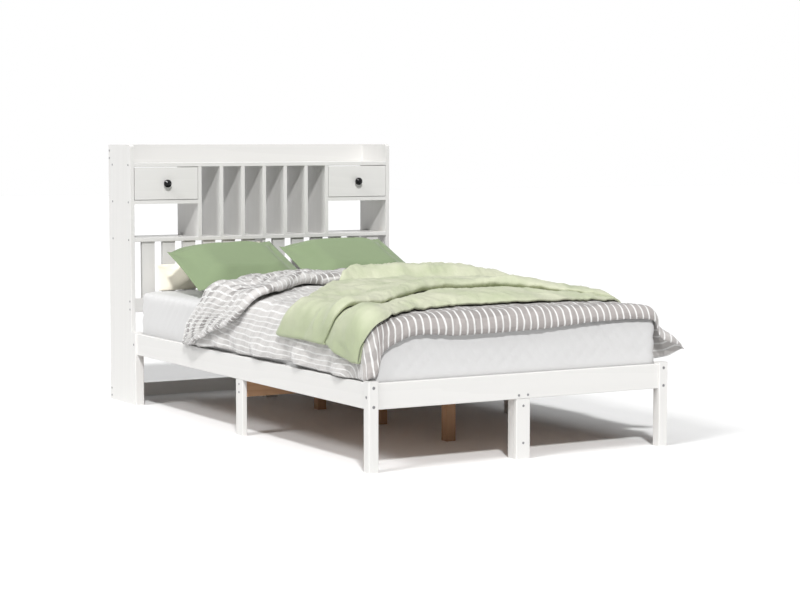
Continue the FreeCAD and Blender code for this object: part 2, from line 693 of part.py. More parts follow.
def knob(label, centre):
    """A knob with a domed head, a neck and the stud that goes through the drawer front."""
    radius, reach = number("size.knob_radius"), number("size.knob_reach")
    stud, back = number("size.knob_stud_radius"), number("size.drawer_front_thick + 2")
    x, y, z = (number(value) for value in centre)
    profile = [
        (back, stud),
        (0, stud),
        (0, 0.45 * radius),
        (-0.5 * reach, radius),
        (-0.75 * reach, 0.95 * radius),
        (-reach, 0.4 * radius),
    ]
    turns = [2 * math.pi * k / KNOB_SIDES for k in range(KNOB_SIDES)]
    rings = [[Vector(r * math.cos(a), out, r * math.sin(a)) for a in turns] for out, r in profile]
    made = feature(label, faceted(rings))
    made.Placement = Placement(Vector(x, y, z), Rotation())


drawer("left", f"(-{INNER})")
drawer("right", f"({INNER} - {BAY})")


# ------------------------------------------------------------------- fasteners
def rod(radius, low, high, sides=HOLE_SIDES):
    """A rod along Z with a few flat sides, inside the circle of its radius."""
    ring = []
    for k in range(sides + 1):
        turn = 2 * math.pi * k / sides
        ring.append(Vector(radius * math.cos(turn), radius * math.sin(turn), low))
    return Part.Face(Part.makePolygon(ring)).extrude(Vector(0, 0, high - low))


def bolt_shape():
    """A pan-head bolt with a hexagon socket: its shank runs along +Z from under the head."""
    thick = number("size.bolt_head_thick")
    head = rod(number("size.bolt_head_radius"), -thick, 0)
    shank = rod(number("size.bolt_radius"), 0, number("size.bolt_long"))
    socket = rod(number("size.bolt_socket") / math.sqrt(3), -thick, -0.3 * thick, sides=6)
    return head.fuse(shank).cut(socket).removeSplitter()


def nut_shape():
    return rod(number("size.nut_radius"), 0, number("size.nut_long"))


TURN = {
    "+x": Rotation(Vector(0, 0, 1), Vector(1, 0, 0)),
    "-x": Rotation(Vector(0, 0, 1), Vector(-1, 0, 0)),
    "+y": Rotation(Vector(0, 0, 1), Vector(0, 1, 0)),
    "-y": Rotation(Vector(0, 0, 1), Vector(0, -1, 0)),
}


def placed(shape, x, y, z, way):
    one = shape.copy()
    one.Placement = Placement(Vector(x, y, z), TURN[way])
    return one


foot, head = number(FOOT), number(HEAD)
half, post = number(RIGHT), number("size.post_side")
sink = number("size.bolt_sink")
rail_in, rail_thick = number(RAIL_IN), number("size.rail_thick")
mid_z, high_z, low_z = (number(z) for z in ("size.bolt_middle", BOLT_HIGH, BOLT_LOW))
nut_in = number("size.nut_from_end")
bolt, nut = bolt_shape(), nut_shape()
bolts, nuts = [], []
for side in (-1, 1):
    inward = "+x" if side < 0 else "-x"
    outward = "-x" if side < 0 else "+x"
    centre_x = side * (half - post / 2)
    nut_face = side * (half - rail_in - rail_thick + 0.5)
    for end_y, way, step in ((foot, "+y", 1), (head, "-y", -1)):
        for z in (high_z, low_z):
            bolts.append(placed(bolt, centre_x, end_y + step * sink, z, way))
            nuts.append(placed(nut, nut_face, end_y + step * (post + nut_in), z, outward))
        bolts.append(placed(bolt, side * (half - sink), end_y + step * post / 2, mid_z, inward))
        face_y = end_y + step * (rail_in + rail_thick - 0.5)
        back_way = "-y" if step > 0 else "+y"
        nuts.append(placed(nut, side * (half - post - nut_in), face_y, mid_z, back_way))
feature("frame_bolts", Part.Compound(bolts))
feature("barrel_nuts", Part.Compound(nuts))


# ------------------------------------------------------------------- soft forms
def wire(points):
    """A closed wire through points; a middle point between two others bends an arc."""
    edges = []
    for start, bend, end in points:
        if bend is None:
            edges.append(Part.makeLine(start, end))
        else:
            edges.append(Part.Arc(start, bend, end).toShape())
    return Part.Wire(edges)


def loft(sections, straight=False):
    """A solid through the sections, curved along its length or straight between each two."""
    made = Part.makeLoft(sections, True, straight)
    if made.Volume < 0:
        made.reverse()
    return made


def mattress_section(y, draw_in, drop):
    """The mattress across the bed: straight between the rails, then a bulge and a crown."""
    low, top = number("size.slat_top") + 1, number("size.slat_top + size.mattress_high") - drop
    rail_top = number("size.rail_bottom + size.rail_height")
    inside = number(BETWEEN_RAILS) / 2 - 2.5 - draw_in
    bulge, corner = 7, 36
    crown = number("size.mattress_crown")

    def at(x, z):
        return Vector(x, y, z)

    shoulder = inside + bulge - 3
    right = [
        (at(-inside, low), None, at(inside, low)),
        (at(inside, low), None, at(inside, rail_top + 4)),
        (at(inside, rail_top + 4), at(inside + bulge, (rail_top + top) / 2), at(shoulder, top - corner)),
        (at(shoulder, top - corner), at(shoulder - 10, top - 10), at(shoulder - corner, top)),
    ]
    crest = (at(shoulder - corner, top), at(0, top + crown), at(corner - shoulder, top))
    left = [(flip(c), b and flip(b), flip(a)) for a, b, c in reversed(right[1:])]
    return wire(right + [crest] + left)


def flip(point):
    return Vector(-point.x, point.y, point.z)


rail_inside = number(f"{RAIL_IN} + size.rail_thick")
mattress_foot = foot + rail_inside + 2
mattress_head = head - rail_inside - 2
END_STEPS = [(0, 30, 26), (5, 13.4, 12), (14, 4.7, 5), (30, 0, 0)]
sections = [mattress_section(mattress_foot + s, d, p) for s, d, p in END_STEPS]
sections += [mattress_section(mattress_head - s, d, p) for s, d, p in reversed(END_STEPS)]
feature("mattress", loft(sections, straight=True))

# The duvet's stations from the foot to the fold at the head. Each has its distance from the
# foot, the heights of its top at the edge and at the middle, the heights of its left and
# right hems, how far its sides stand out, and the height of its underside.
UNDER = 495
DUVET = [
    (3, 462, 470, 446, 446, 628, 446),
    (10, 482, 494, 436, 436, 636, 436),
    (28, 498, 510, 318, 330, 646, 436),
    (30.5, 500, 512, 318, 330, 646, UNDER),
    (90, 506, 520, 322, 322, 652, UNDER),
    (170, 510, 524, 318, 316, 642, UNDER),
    (260, 513, 530, 326, 324, 655, UNDER),
    (350, 516, 534, 318, 317, 643, UNDER),
    (450, 520, 539, 325, 326, 655, UNDER),
    (560, 524, 544, 317, 318, 643, UNDER),
    (680, 528, 550, 326, 325, 654, UNDER),
    (800, 532, 554, 318, 317, 643, UNDER),
    (885, 534, 557, 324, 325, 652, UNDER),
    (905, 553, 578, 318, 318, 655, UNDER),
    (1040, 557, 586, 326, 324, 648, UNDER),
    (1180, 557, 588, 316, 318, 655, UNDER),
    (1300, 552, 585, 322, 320, 648, UNDER),
    (1370, 540, 572, 330, 330, 640, UNDER),
    (1395, 520, 548, 380, 380, 628, UNDER),
]
DUVET_EDGE = 596
DUVET_IN = 608
CORNER_IN = 30
SHOULDER = 58


def duvet_section(station):
    """The duvet across the bed: a puffed top, rounded shoulders and hanging sides."""
    from_foot, edge, middle, hem_left, hem_right, out, under = station
    y = foot + from_foot
    shoulder = edge - SHOULDER

    def at(x, z):
        return Vector(x, y, z)

    def half_outline(sign, hem):
        thin = min(shoulder, under - 24)
        inner = min(DUVET_IN, out - 12)
        hem = min(hem, thin - 6)
        bend = (DUVET_EDGE + 0.72 * (out - DUVET_EDGE), edge - 0.26 * (edge - shoulder))
        outer = [
            (at(sign * out, hem), None, at(sign * out, shoulder)),
            (at(sign * out, shoulder), at(sign * bend[0], bend[1]), at(sign * DUVET_EDGE, edge)),
        ]
        inside = [
            (at(sign * (inner - CORNER_IN), under), None, at(sign * inner, under - 24)),
            (at(sign * inner, under - 24), None, at(sign * inner, hem)),
            (at(sign * inner, hem), None, at(sign * out, hem)),
        ]
        return inside, outer

    right_in, right_out = half_outline(1, hem_right)
    left_in, left_out = half_outline(-1, hem_left)
    top = [(right_out[-1][2], at(0, middle), left_out[-1][2])]
    under_run = [(left_in[0][0], None, right_in[0][0])]
    back = [(c, b, a) for a, b, c in reversed(left_out)]
    inward = [(c, b, a) for a, b, c in reversed(left_in)]
    return wire(right_in + right_out + top + back + inward + under_run)


feature("duvet", loft([duvet_section(s) for s in DUVET], straight=True))

# The throw lies across the duvet in long folds, wider on the right, and hangs over both sides.
# Its stations have the distance from the foot, the thickness on top and that at the sides;
# a plan outline then trims both its edges.
THROW_GAP = 5
THROW_HEM = (425, 405)
THROW = [
    (20, 8, 7),
    (95, 9, 8),
    (160, 22, 12),
    (235, 30, 15),
    (320, 26, 12),
    (385, 12, 8),
    (450, 26, 13),
    (540, 32, 15),
    (640, 26, 12),
    (740, 15, 9),
    (830, 13, 9),
    (885, 20, 10),
    (905, 16, 10),
    (940, 16, 9),
    (1040, 12, 9),
    (1150, 15, 9),
    (1290, 12, 8),
]
THROW_NEAR = [(-700, 95), (-560, 60), (-313, 190), (0, 195), (383, 215), (700, 262)]
THROW_FAR = [(700, 1268), (206, 1231), (-180, 960), (-497, 690), (-700, 640)]


def duvet_at(from_foot):
    """The heights of the duvet's edge and middle at a place, from its stations."""
    for before, after in zip(DUVET, DUVET[1:]):
        if before[0] <= from_foot <= after[0]:
            share = (from_foot - before[0]) / (after[0] - before[0])
            return [before[k] + share * (after[k] - before[k]) for k in (1, 2)]
    raise ValueError(from_foot)


def throw_section(station):
    """The throw across the bed: the duvet's own outline, and the same again further out."""
    from_foot, thick, side_thick = station
    edge, middle = duvet_at(from_foot)
    widest = max(s[5] for s in DUVET)
    y = foot + from_foot

    def at(x, z):
        return Vector(x, y, z)

    def cover(grow, rise):
        out = widest + grow
        lip, shoulder = edge + rise, edge - SHOULDER + rise
        bend = DUVET_EDGE + 0.76 * (out - DUVET_EDGE), lip - 0.24 * SHOULDER
        right = [
            (at(out, THROW_HEM[1]), None, at(out, shoulder)),
            (at(out, shoulder), at(*bend), at(DUVET_EDGE, lip)),
        ]
        left = [
            (at(-DUVET_EDGE, lip), at(-bend[0], bend[1]), at(-out, shoulder)),
            (at(-out, shoulder), None, at(-out, THROW_HEM[0])),
        ]
        crest = [(at(DUVET_EDGE, lip), at(0, middle + rise), at(-DUVET_EDGE, lip))]
        return right + crest + left

    inner = cover(THROW_GAP, THROW_GAP + 1)
    outer = cover(THROW_GAP + side_thick, THROW_GAP + 1 + thick)
    back = [(c, b, a) for a, b, c in reversed(inner)]
    right_hem = (inner[0][0], None, outer[0][0])
    left_hem = (outer[-1][2], None, inner[-1][2])
    return wire([right_hem] + outer + [left_hem] + back)


def throw_plan():
    """A prism that keeps the throw between its near edge and its far edge."""
    edges = []
    for run in (THROW_NEAR, THROW_FAR):
        curve = Part.BSplineCurve()
        curve.interpolate([Vector(x, foot + y, 300) for x, y in run])
        edges.append(curve.toShape())
    ends = [[Vector(x, foot + y, 300) for x, y in pair] for pair in zip(
        (THROW_NEAR[-1], THROW_FAR[-1]), (THROW_FAR[0], THROW_NEAR[0]))]
    right, left = (Part.makeLine(*pair) for pair in ends)
    return Part.Face(Part.Wire([edges[0], right, edges[1], left])).extrude(Vector(0, 0, 500))


feature("throw", loft([throw_section(s) for s in THROW], straight=True).common(throw_plan()))


# A pillow's outline as shares of its half width and half depth, drawn in between its corners,
# and its layers: how far up the half thickness each is, and how large it is.
PILLOW_OUTLINE = [(0, 0.93), (0.5, 0.94), (0.86, 0.97), (1, 1), (0.97, 0.84), (0.95, 0.5), (0.945, 0)]
PILLOW_LAYERS = [(0.05, 1), (0.34, 0.92), (0.52, 0.84), (0.76, 0.67), (0.93, 0.44), (1, 0.2)]


def pillow_layer(wide, deep, z, share):
    """One layer of a pillow: its outline, made smaller and lifted to a height."""
    quarter = [Vector(wide / 2 * share * x, deep / 2 * share * y, z) for x, y in PILLOW_OUTLINE]
    half = quarter + [Vector(v.x, -v.y, z) for v in reversed(quarter[:-1])]
    return half + [Vector(-v.x, v.y, z) for v in reversed(half[1:-1])]


def pillow_shape(wide, deep, thick):
    """A stuffed pillow: flat layers that shrink from its seam to the middle of both faces."""
    upper = [(thick / 2 * rise, share) for rise, share in PILLOW_LAYERS]
    lower = [(-z, share) for z, share in reversed(upper)]
    return faceted([pillow_layer(wide, deep, *layer) for layer in lower + upper])


def pillow(label, wide, deep, thick, x, from_head, z, lean, turn=0):
    """A pillow whose face leans back from upright by the angle lean."""
    shape = pillow_shape(wide, deep, thick)
    made = feature(label, shape)
    turned = Rotation(Vector(0, 0, 1), turn).multiply(Rotation(Vector(1, 0, 0), 90 - lean))
    made.Placement = Placement(Vector(x, head - from_head, z), turned)


pillow("pillow_back", 490, 190, 84, -288, 60, 586, 8)
pillow("pillow_left", 500, 400, 116, -290, 296, 595, 64, 2)
pillow("pillow_right", 500, 430, 116, 265, 262, 594, 66, -2)

# ------------------------------------------------------------- check and write
doc.recompute()
for made in doc.Objects:
    if "Invalid" in made.State or "Error" in made.State:
        raise RuntimeError(f"{made.Label} failed: {made.State}")
for node in nodes:
    if node.Shape.isNull() or not node.Shape.isValid():
        raise RuntimeError(f"{node.Label} has no valid shape")
    if not node.Shape.Solids:
        raise RuntimeError(f"{node.Label} has no solid")

os.makedirs("parts", exist_ok=True)
for node in nodes:
    node.Shape.exportStep(f"parts/{node.Label}.step")
print(len(nodes), "nodes")
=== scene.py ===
"""A double bed with a bookcase headboard, made up with bedding, in a plain pale studio."""

import json
import math

import bmesh
import bpy
import numpy as np
from bpy.props import FloatProperty, FloatVectorProperty, IntProperty, PointerProperty
from mathutils import Matrix, Vector, noise


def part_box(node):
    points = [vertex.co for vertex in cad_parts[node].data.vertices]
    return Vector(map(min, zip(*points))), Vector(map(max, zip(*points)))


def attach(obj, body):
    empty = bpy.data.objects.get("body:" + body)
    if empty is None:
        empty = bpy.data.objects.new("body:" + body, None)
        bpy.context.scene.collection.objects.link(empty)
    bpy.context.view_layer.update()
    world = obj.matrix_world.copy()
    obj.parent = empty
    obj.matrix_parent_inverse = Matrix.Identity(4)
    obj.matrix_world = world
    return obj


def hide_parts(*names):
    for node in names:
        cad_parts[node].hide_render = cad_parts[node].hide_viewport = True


bl_info = {
    "name": "Bookcase Headboard Bed",
    "version": (1, 0, 0),
    "blender": (4, 5, 0),
    "location": "3D View > Sidebar > Bed",
    "description": "Dresses the bed frame with timber, fasteners, mattress and bedding",
    "category": "Object",
}

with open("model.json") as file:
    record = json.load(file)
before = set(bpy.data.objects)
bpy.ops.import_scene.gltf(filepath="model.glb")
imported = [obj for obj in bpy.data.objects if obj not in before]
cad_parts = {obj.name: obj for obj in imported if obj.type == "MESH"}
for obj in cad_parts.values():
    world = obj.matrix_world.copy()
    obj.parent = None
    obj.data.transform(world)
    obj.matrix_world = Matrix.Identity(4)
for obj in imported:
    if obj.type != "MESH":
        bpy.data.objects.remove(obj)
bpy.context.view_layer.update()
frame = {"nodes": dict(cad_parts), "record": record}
NODES = frame["nodes"]

BED = "bed"
FOOT_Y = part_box("foot_post_left")[0][1]
MATTRESS_LOW, MATTRESS_HIGH = (Vector(corner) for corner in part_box("mattress"))


# ---- settings
def colour_setting(name, description, default):
    return FloatVectorProperty(
        name=name, description=description, default=default, subtype="COLOR", min=0, max=1
    )


def length_setting(name, description, default):
    return FloatProperty(name=name, description=description, default=default, unit="LENGTH")


def number_setting(name, description, default, **limits):
    return FloatProperty(name=name, description=description, default=default, **limits)


class TimberSettings(bpy.types.PropertyGroup):
    lacquer: colour_setting("Lacquer", "Colour of the lacquered pine", (0.668, 0.661, 0.645))
    plain_pine: colour_setting("Plain pine", "Colour of the bare pine", (0.42, 0.25, 0.14))
    grain_length: number_setting("Grain length", "Length of a streak over its width", 22.0, min=1)
    screw_radius: length_setting("Screw heads", "Radius of the wood screws' heads", 0.0045)


class MattressSettings(bpy.types.PropertyGroup):
    cell: length_setting("Quilt cell", "Distance between two diagonal seams", 0.054)
    depth: length_setting("Quilt depth", "Depth of the quilting seams", 0.0065)
    colour: colour_setting("Ticking", "Colour of the mattress's cover", (0.590, 0.587, 0.585))


class DuvetSettings(bpy.types.PropertyGroup):
    thickness: length_setting("Thickness", "Thickness of one layer of the duvet", 0.042)
    wrinkle: length_setting("Wrinkles", "Height of the crumpled cloth's ridges", 0.0080)
    line_spacing: length_setting("Line spacing", "Distance between two woven lines", 0.0292)
    line_width: length_setting("Line width", "Width of a woven line", 0.0056)
    block_length: length_setting("Block length", "Distance between two rows of blocks", 0.070)
    # The two grounds are one cloth's colour, painted in shade at the foot and painted lit at the
    # side and the head.
    ground: colour_setting("Ground", "Colour between the lines at the foot", (0.255, 0.236, 0.228))
    washed: colour_setting(
        "Lit ground", "Colour between the lines at the side and the head", (0.550, 0.534, 0.520)
    )
    line: colour_setting("Line", "Colour of the woven lines", (0.74, 0.74, 0.73))


class ThrowSettings(bpy.types.PropertyGroup):
    thickness: length_setting("Thickness", "Thickness of the quilted throw", 0.008)
    wrinkle: length_setting("Wrinkles", "Height of the throw's small ridges", 0.0034)
    colour: colour_setting("Colour", "Colour of the throw", (0.325, 0.380, 0.225))
    # Painted sheen: a paler colour for where the throw lies on top, while its hanging left end
    # keeps the green.
    faded: colour_setting("Painted sheen", "Paler colour painted on as sheen where the throw lies on top", (0.51, 0.525, 0.395))


class PillowSettings(bpy.types.PropertyGroup):
    green: colour_setting("Green", "Colour of the two front pillows", (0.196, 0.255, 0.143))
    cream: colour_setting("Cream", "Colour of the pillow behind them", (0.78, 0.73, 0.62))
    pressure: number_setting("Pressure", "How hard the filling swells a pillow", 4.5, min=0)
    draw_in: number_setting(
        "Draw in", "Share that is kept of the cloth's move along the pillow", 0.05, min=0, max=1
    )
    frames: IntProperty(
        name="Frames", description="Steps of cloth simulation for a pillow", default=20, min=2
    )


class StudioSettings(bpy.types.PropertyGroup):
    sky: number_setting("Sky", "Strength of the even light from all round", 0.03, min=0)
    key: number_setting("Key light", "Strength of the sharp light from the left foot", 2.70, min=0)
    overhead: number_setting("Overhead light", "Strength of the broad light above", 1.04, min=0)
    side: number_setting("Side light", "Strength of the soft light from the left", 1.50, min=0)
    lens: number_setting("Lens", "Focal length of the camera", 91.2, unit="CAMERA")
    heading: number_setting(
        "Heading",
        "Turn of the camera away from the bed's long axis",
        math.radians(30.073),
        subtype="ANGLE",
    )
    pitch: number_setting(
        "Pitch", "How far the camera looks down", math.radians(4.581), subtype="ANGLE"
    )
    from_foot: FloatVectorProperty(
        name="Camera",
        description="The camera's place, its Y counted from the foot posts' front face",
        subtype="TRANSLATION",
        default=(-3.92175, -5.89745, 1.12928),
    )


GROUPS = {
    "bed_timber": TimberSettings,
    "bed_mattress": MattressSettings,
    "bed_duvet": DuvetSettings,
    "bed_throw": ThrowSettings,
    "bed_pillows": PillowSettings,
    "bed_studio": StudioSettings,
}


# ---- materials
def arithmetic(operation):
    return lambda self, other: self.math(operation, self, other)


class Link:
    """A node's output. Arithmetic on one that carries a number adds Math nodes."""

    def __init__(self, finish, socket):
        self.finish = finish
        self.socket = socket

    def math(self, operation, *values):
        inputs = dict(enumerate(values))
        return self.finish.node("ShaderNodeMath", {"operation": operation}, inputs)

    __add__ = __radd__ = arithmetic("ADD")
    __mul__ = __rmul__ = arithmetic("MULTIPLY")
    __sub__ = arithmetic("SUBTRACT")
    __truediv__ = arithmetic("DIVIDE")

    def clamped(self):
        return self.math("MAXIMUM", self.math("MINIMUM", self, 1.0), 0.0)

    def part(self, name):
        """Another output of the same node."""
        return Link(self.finish, self.socket.node.outputs[name])


class Finish:
    """A node tree that is being put together: a material's, the world's or a modifier's."""

    def __init__(self, tree):
        self.tree = tree
        tree.nodes.clear()

    def node(self, kind, settings=None, inputs=None, output=0):
        """Adds a node, sets its settings, then its sockets, and gives one of its outputs."""
        made = self.tree.nodes.new(kind)
        for name, value in (settings or {}).items():
            setattr(made, name, value)
        for name, value in (inputs or {}).items():
            if isinstance(value, Link):
                self.tree.links.new(value.socket, made.inputs[name])
            else:
                made.inputs[name].default_value = value
        return Link(self, made.outputs[output]) if made.outputs else None

    def mix(self, share, first, second):
        """A colour between two, by a share from 0 to 1. The sockets are those for colours."""
        settings = {"data_type": "RGBA", "clamp_factor": True}
        colours = [c if isinstance(c, Link) else (*tuple(c)[:3], 1.0) for c in (first, second)]
        return self.node("ShaderNodeMix", settings, {0: share, 6: colours[0], 7: colours[1]}, 2)

    def ramp(self, value, *stops):
        """A number turned into another by two (place, level) stops."""
        made = self.node("ShaderNodeValToRGB", None, {"Fac": value})
        for element, (place, level) in zip(made.socket.node.color_ramp.elements, stops):
            element.position = place
            element.color = (level, level, level, 1.0)
        return made

    def attribute(self, name):
        """A number that the mesh carries at each point."""
        return self.node("ShaderNodeAttribute", {"attribute_name": name}, None, "Fac")

    def place(self, scale=(1, 1, 1), source="Object"):
        where = self.node("ShaderNodeTexCoord").part(source)
        return self.node("ShaderNodeMapping", None, {"Vector": where, "Scale": scale})

    def waves(self, where, way, profile, scale, distortion, **more):
        """Straight bands across a direction, as a number from 0 to 1."""
        settings = {"wave_type": "BANDS", "bands_direction": way, "wave_profile": profile}
        inputs = {"Vector": where, "Scale": scale, "Distortion": distortion}
        inputs.update({name.replace("_", " "): value for name, value in more.items()})
        return self.node("ShaderNodeTexWave", settings, inputs, "Fac")

    def noise(self, where, scale, detail=3.0, roughness=0.55):
        return self.node(
            "ShaderNodeTexNoise",
            None,
            {"Vector": where, "Scale": scale, "Detail": detail, "Roughness": roughness},
        )

    def bump(self, height, distance, strength=1.0, onto=None):
        inputs = {"Height": height, "Distance": distance, "Strength": strength}
        if onto is not None:
            inputs["Normal"] = onto
        return self.node("ShaderNodeBump", None, inputs)

    def principled(self, **sockets):
        named = {name.replace("_", " "): value for name, value in sockets.items()}
        shader = self.node("ShaderNodeBsdfPrincipled", None, named)
        self.node("ShaderNodeOutputMaterial", None, {"Surface": shader})

    def matte_cloth(self, colour, mottle, sheen, relief):
        self.principled(
            Base_Color=colour,
            Roughness=0.86 + 0.08 * mottle,
            Sheen_Weight=sheen,
            Sheen_Roughness=0.4,
            Normal=relief,
        )


def new_material(name):
    material = bpy.data.materials.new(name)
    material.use_nodes = True
    return material, Finish(material.node_tree)


def grain_figure(finish, along, settings):
    """Growth rings cut lengthwise as bands drawn out along the board, their drift, and fibres."""
    where = finish.place([1 / settings.grain_length if axis == along else 1 for axis in "xyz"])
    drift = finish.noise(where, 9.0, 2.0)
    bands = finish.waves(where, "DIAGONAL", "SAW", 14.0, 7.0, Detail=2.0, Detail_Scale=1.4)
    fibres = finish.noise(where, 240.0, 2.0)
    return bands, drift, fibres


def lacquered_pine(along, settings):
    """White lacquer through which the pine's grain and a few knots barely show."""
    material, finish = new_material(f"lacquered_pine_{along}")
    bands, drift, fibres = grain_figure(finish, along, settings)
    knots = finish.node(
        "ShaderNodeTexVoronoi",
        {"feature": "F1"},
        {"Vector": finish.place(), "Scale": 2.6, "Randomness": 1.0},
    )
    spot = finish.ramp(knots, (0.03, 1.0), (0.075, 0.0))
    tone = bands * 0.5 + drift * 0.5
    lacquer = Vector(settings.lacquer)
    shaded = finish.mix(tone, lacquer * 0.965, lacquer * 1.015)
    coloured = finish.mix(spot * 0.35, shaded, Vector((0.80, 0.74, 0.66)))
    relief = finish.bump(bands * 0.6 + fibres * 0.4, 0.00025, 0.35)
    finish.principled(
        Base_Color=coloured,
        Roughness=0.34 + 0.10 * drift + 0.05 * fibres,
        Coat_Weight=0.12,
        Coat_Roughness=0.25,
        Normal=relief,
    )
    return material


def plain_pine(along, settings):
    """Bare planed pine with darker late wood in its rings."""
    material, finish = new_material(f"plain_pine_{along}")
    bands, drift, fibres = grain_figure(finish, along, settings)
    late_wood = finish.ramp(bands, (0.45, 0.0), (0.95, 1.0))
    pine = Vector(settings.plain_pine)
    dark = Vector((pine.x * 0.72, pine.y * 0.60, pine.z * 0.50))
    ringed = finish.mix(late_wood * 0.6, pine, dark)
    coloured = finish.mix(drift * 0.5, ringed, pine * 1.22)
    relief = finish.bump(late_wood * 0.5 + fibres * 0.5, 0.0004, 0.5)
    finish.principled(Base_Color=coloured, Roughness=0.55 + 0.15 * fibres, Normal=relief)
    return material


def zinc_plate():
    material, finish = new_material("zinc_plate")
    speckle = finish.noise(finish.place(), 900.0, 2.0)
    finish.principled(
        Base_Color=finish.mix(speckle, (0.22, 0.22, 0.23), (0.33, 0.33, 0.34)),
        Metallic=1.0,
        Roughness=0.32 + 0.16 * speckle,
        Normal=finish.bump(speckle, 0.00006, 0.5),
    )
    return material


def gloss_black():
    material, finish = new_material("gloss_black")
    cloud = finish.noise(finish.place(), 120.0, 2.0)
    finish.principled(
        Base_Color=finish.mix(cloud, (0.005, 0.005, 0.006), (0.011, 0.011, 0.012)),
        Roughness=0.12 + 0.08 * cloud,
        IOR=1.25,
    )
    return material


def weave_relief(finish, where, threads):
    """The height of a plain weave: two sets of threads that pass over and under each other."""
    warp, weft = (finish.waves(where, way, "SIN", threads, 0.4, Detail=1.0) for way in "XY")
    return warp * 0.5 + weft * 0.5


def plain_cloth(name, colour, source="UV", threads=90.0, mottling=0.06, crumple=0.0, faded=None):
    """Matte woven cotton with soft mottling, fine crumples of a given depth and, where given, a
    paler colour painted on in patches as sheen.
    """
    material, finish = new_material(name)
    where = finish.place(source=source)
    weave = weave_relief(finish, where, threads)
    mottle = finish.noise(finish.place(), 26.0, 4.0)
    pale, deep = Vector(colour) * (1 + mottling), Vector(colour) * (1 - mottling)
    shade = finish.mix(mottle * 0.7 + weave * 0.3, deep, pale)
    # Painted sheen: a paler colour mixed in, in patches, as far as the mesh's share says.
    if faded:
        sheen_share = finish.attribute("faded")
        patches = finish.ramp(finish.noise(where, 5.0, 3.0), (0.32, 0.35), (0.62, 1.05))
        shade = finish.mix(sheen_share * patches, shade, faded)
    relief = finish.bump(weave * 0.6 + mottle * 0.4, 0.0006, 0.4)
    if crumple:
        relief = finish.bump(finish.noise(where, 36.0, 5.0, 0.6), crumple, 0.55, relief)
    finish.matte_cloth(shade, mottle, 0.2, relief)
    return material


def lined_cotton(settings):
    """Taupe cotton with thin pale lines along the bed and faint blocks woven between them. Its
    ground is painted lit at the side and the head, and painted in shade at the foot.
    """
    material, finish = new_material("lined_cotton")
    where = finish.place(source="UV")
    place = finish.node("ShaderNodeSeparateXYZ", None, {"Vector": where})
    wander = finish.noise(where, 5.0, 2.0) - 0.5
    stripe = place / settings.line_spacing + 0.10 * wander
    from_line = stripe.math("PINGPONG", stripe, 0.5)
    half_width = settings.line_width / settings.line_spacing / 2
    on_line = finish.ramp(from_line, (half_width * 0.7, 1.0), (half_width * 1.6, 0.0))
    block = place.part("Y") / settings.block_length + 0.30 * wander
    in_block = finish.ramp(block.math("PINGPONG", block, 0.5), (0.20, 1.0), (0.28, 0.0))
    patches = finish.ramp(finish.noise(where, 6.0, 2.0), (0.40, 0.30), (0.60, 1.0))
    turned, washed = finish.attribute("turned_back"), finish.attribute("washed")
    weave = weave_relief(finish, where, 80.0)
    mottle = finish.noise(finish.place(), 18.0, 4.0)
    # Painted light: the foot gets the darker ground as shade, and the side and the head get the
    # paler ground as lit.
    ground, pale = Vector(settings.ground), Vector(settings.washed)
    foot = finish.mix(mottle * 0.6 + weave * 0.4, ground * 1.20, ground * 1.50)
    head = finish.mix(mottle * 0.6 + weave * 0.4, pale * 0.92, pale * 1.08)
    blocks = in_block * patches * (0.70 + 0.30 * turned)
    block_tone = finish.mix(washed, ground * 0.95, finish.mix(turned, pale * 0.78, ground * 0.80))
    shaded = finish.mix(blocks, finish.mix(washed, foot, head), block_tone)
    coloured = finish.mix(on_line * 0.92, shaded, settings.line)
    crumple = finish.noise(where, 34.0, 6.0, 0.62)
    fine = finish.bump(weave * 0.5 + on_line * 0.5, 0.0006, 0.4)
    finish.matte_cloth(coloured, mottle, 0.6, finish.bump(crumple, 0.010, 0.70, fine))
    return material


# ---- mesh helpers
def new_piece(name, vertices, faces, material, uv, values=None):
    """A mesh object in the bed's own frame, smooth shaded, with its UV map and attributes."""
    mesh = bpy.data.meshes.new(name)
    mesh.from_pydata([tuple(v) for v in vertices], [], faces)
    layer = mesh.uv_layers.new(name="UVMap")
    corner = np.zeros(len(mesh.loops), np.int32)
    mesh.loops.foreach_get("vertex_index", corner)
    layer.data.foreach_set("uv", np.asarray(uv, np.float32)[corner].ravel())
    for attribute, numbers in (values or {}).items():
        made = mesh.attributes.new(attribute, "FLOAT", "POINT")
        made.data.foreach_set("value", np.asarray(numbers, np.float32))
    mesh.polygons.foreach_set("use_smooth", [True] * len(mesh.polygons))
    mesh.materials.append(material)
    mesh.update()
    piece = bpy.data.objects.new(name, mesh)
    bpy.context.scene.collection.objects.link(piece)
    return piece


def settle(piece):
    """Let a finished piece ride on the bed."""
    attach(piece, BED)
    return piece


def smooth_step(low, high, value):
    share = np.clip((value - low) / (high - low), 0.0, 1.0)
    return share * share * (3 - 2 * share)


def ripples(places, scale, octaves, seed):
    """Soft noise from -1 to 1 at each place."""
    offset = Vector((17.3 * seed, 5.1 * seed, 2.7 * seed))
    spots = (Vector(place) * scale + offset for place in places)
    return np.array([noise.fractal(spot, 0.9, 2.1, octaves) for spot in spots])


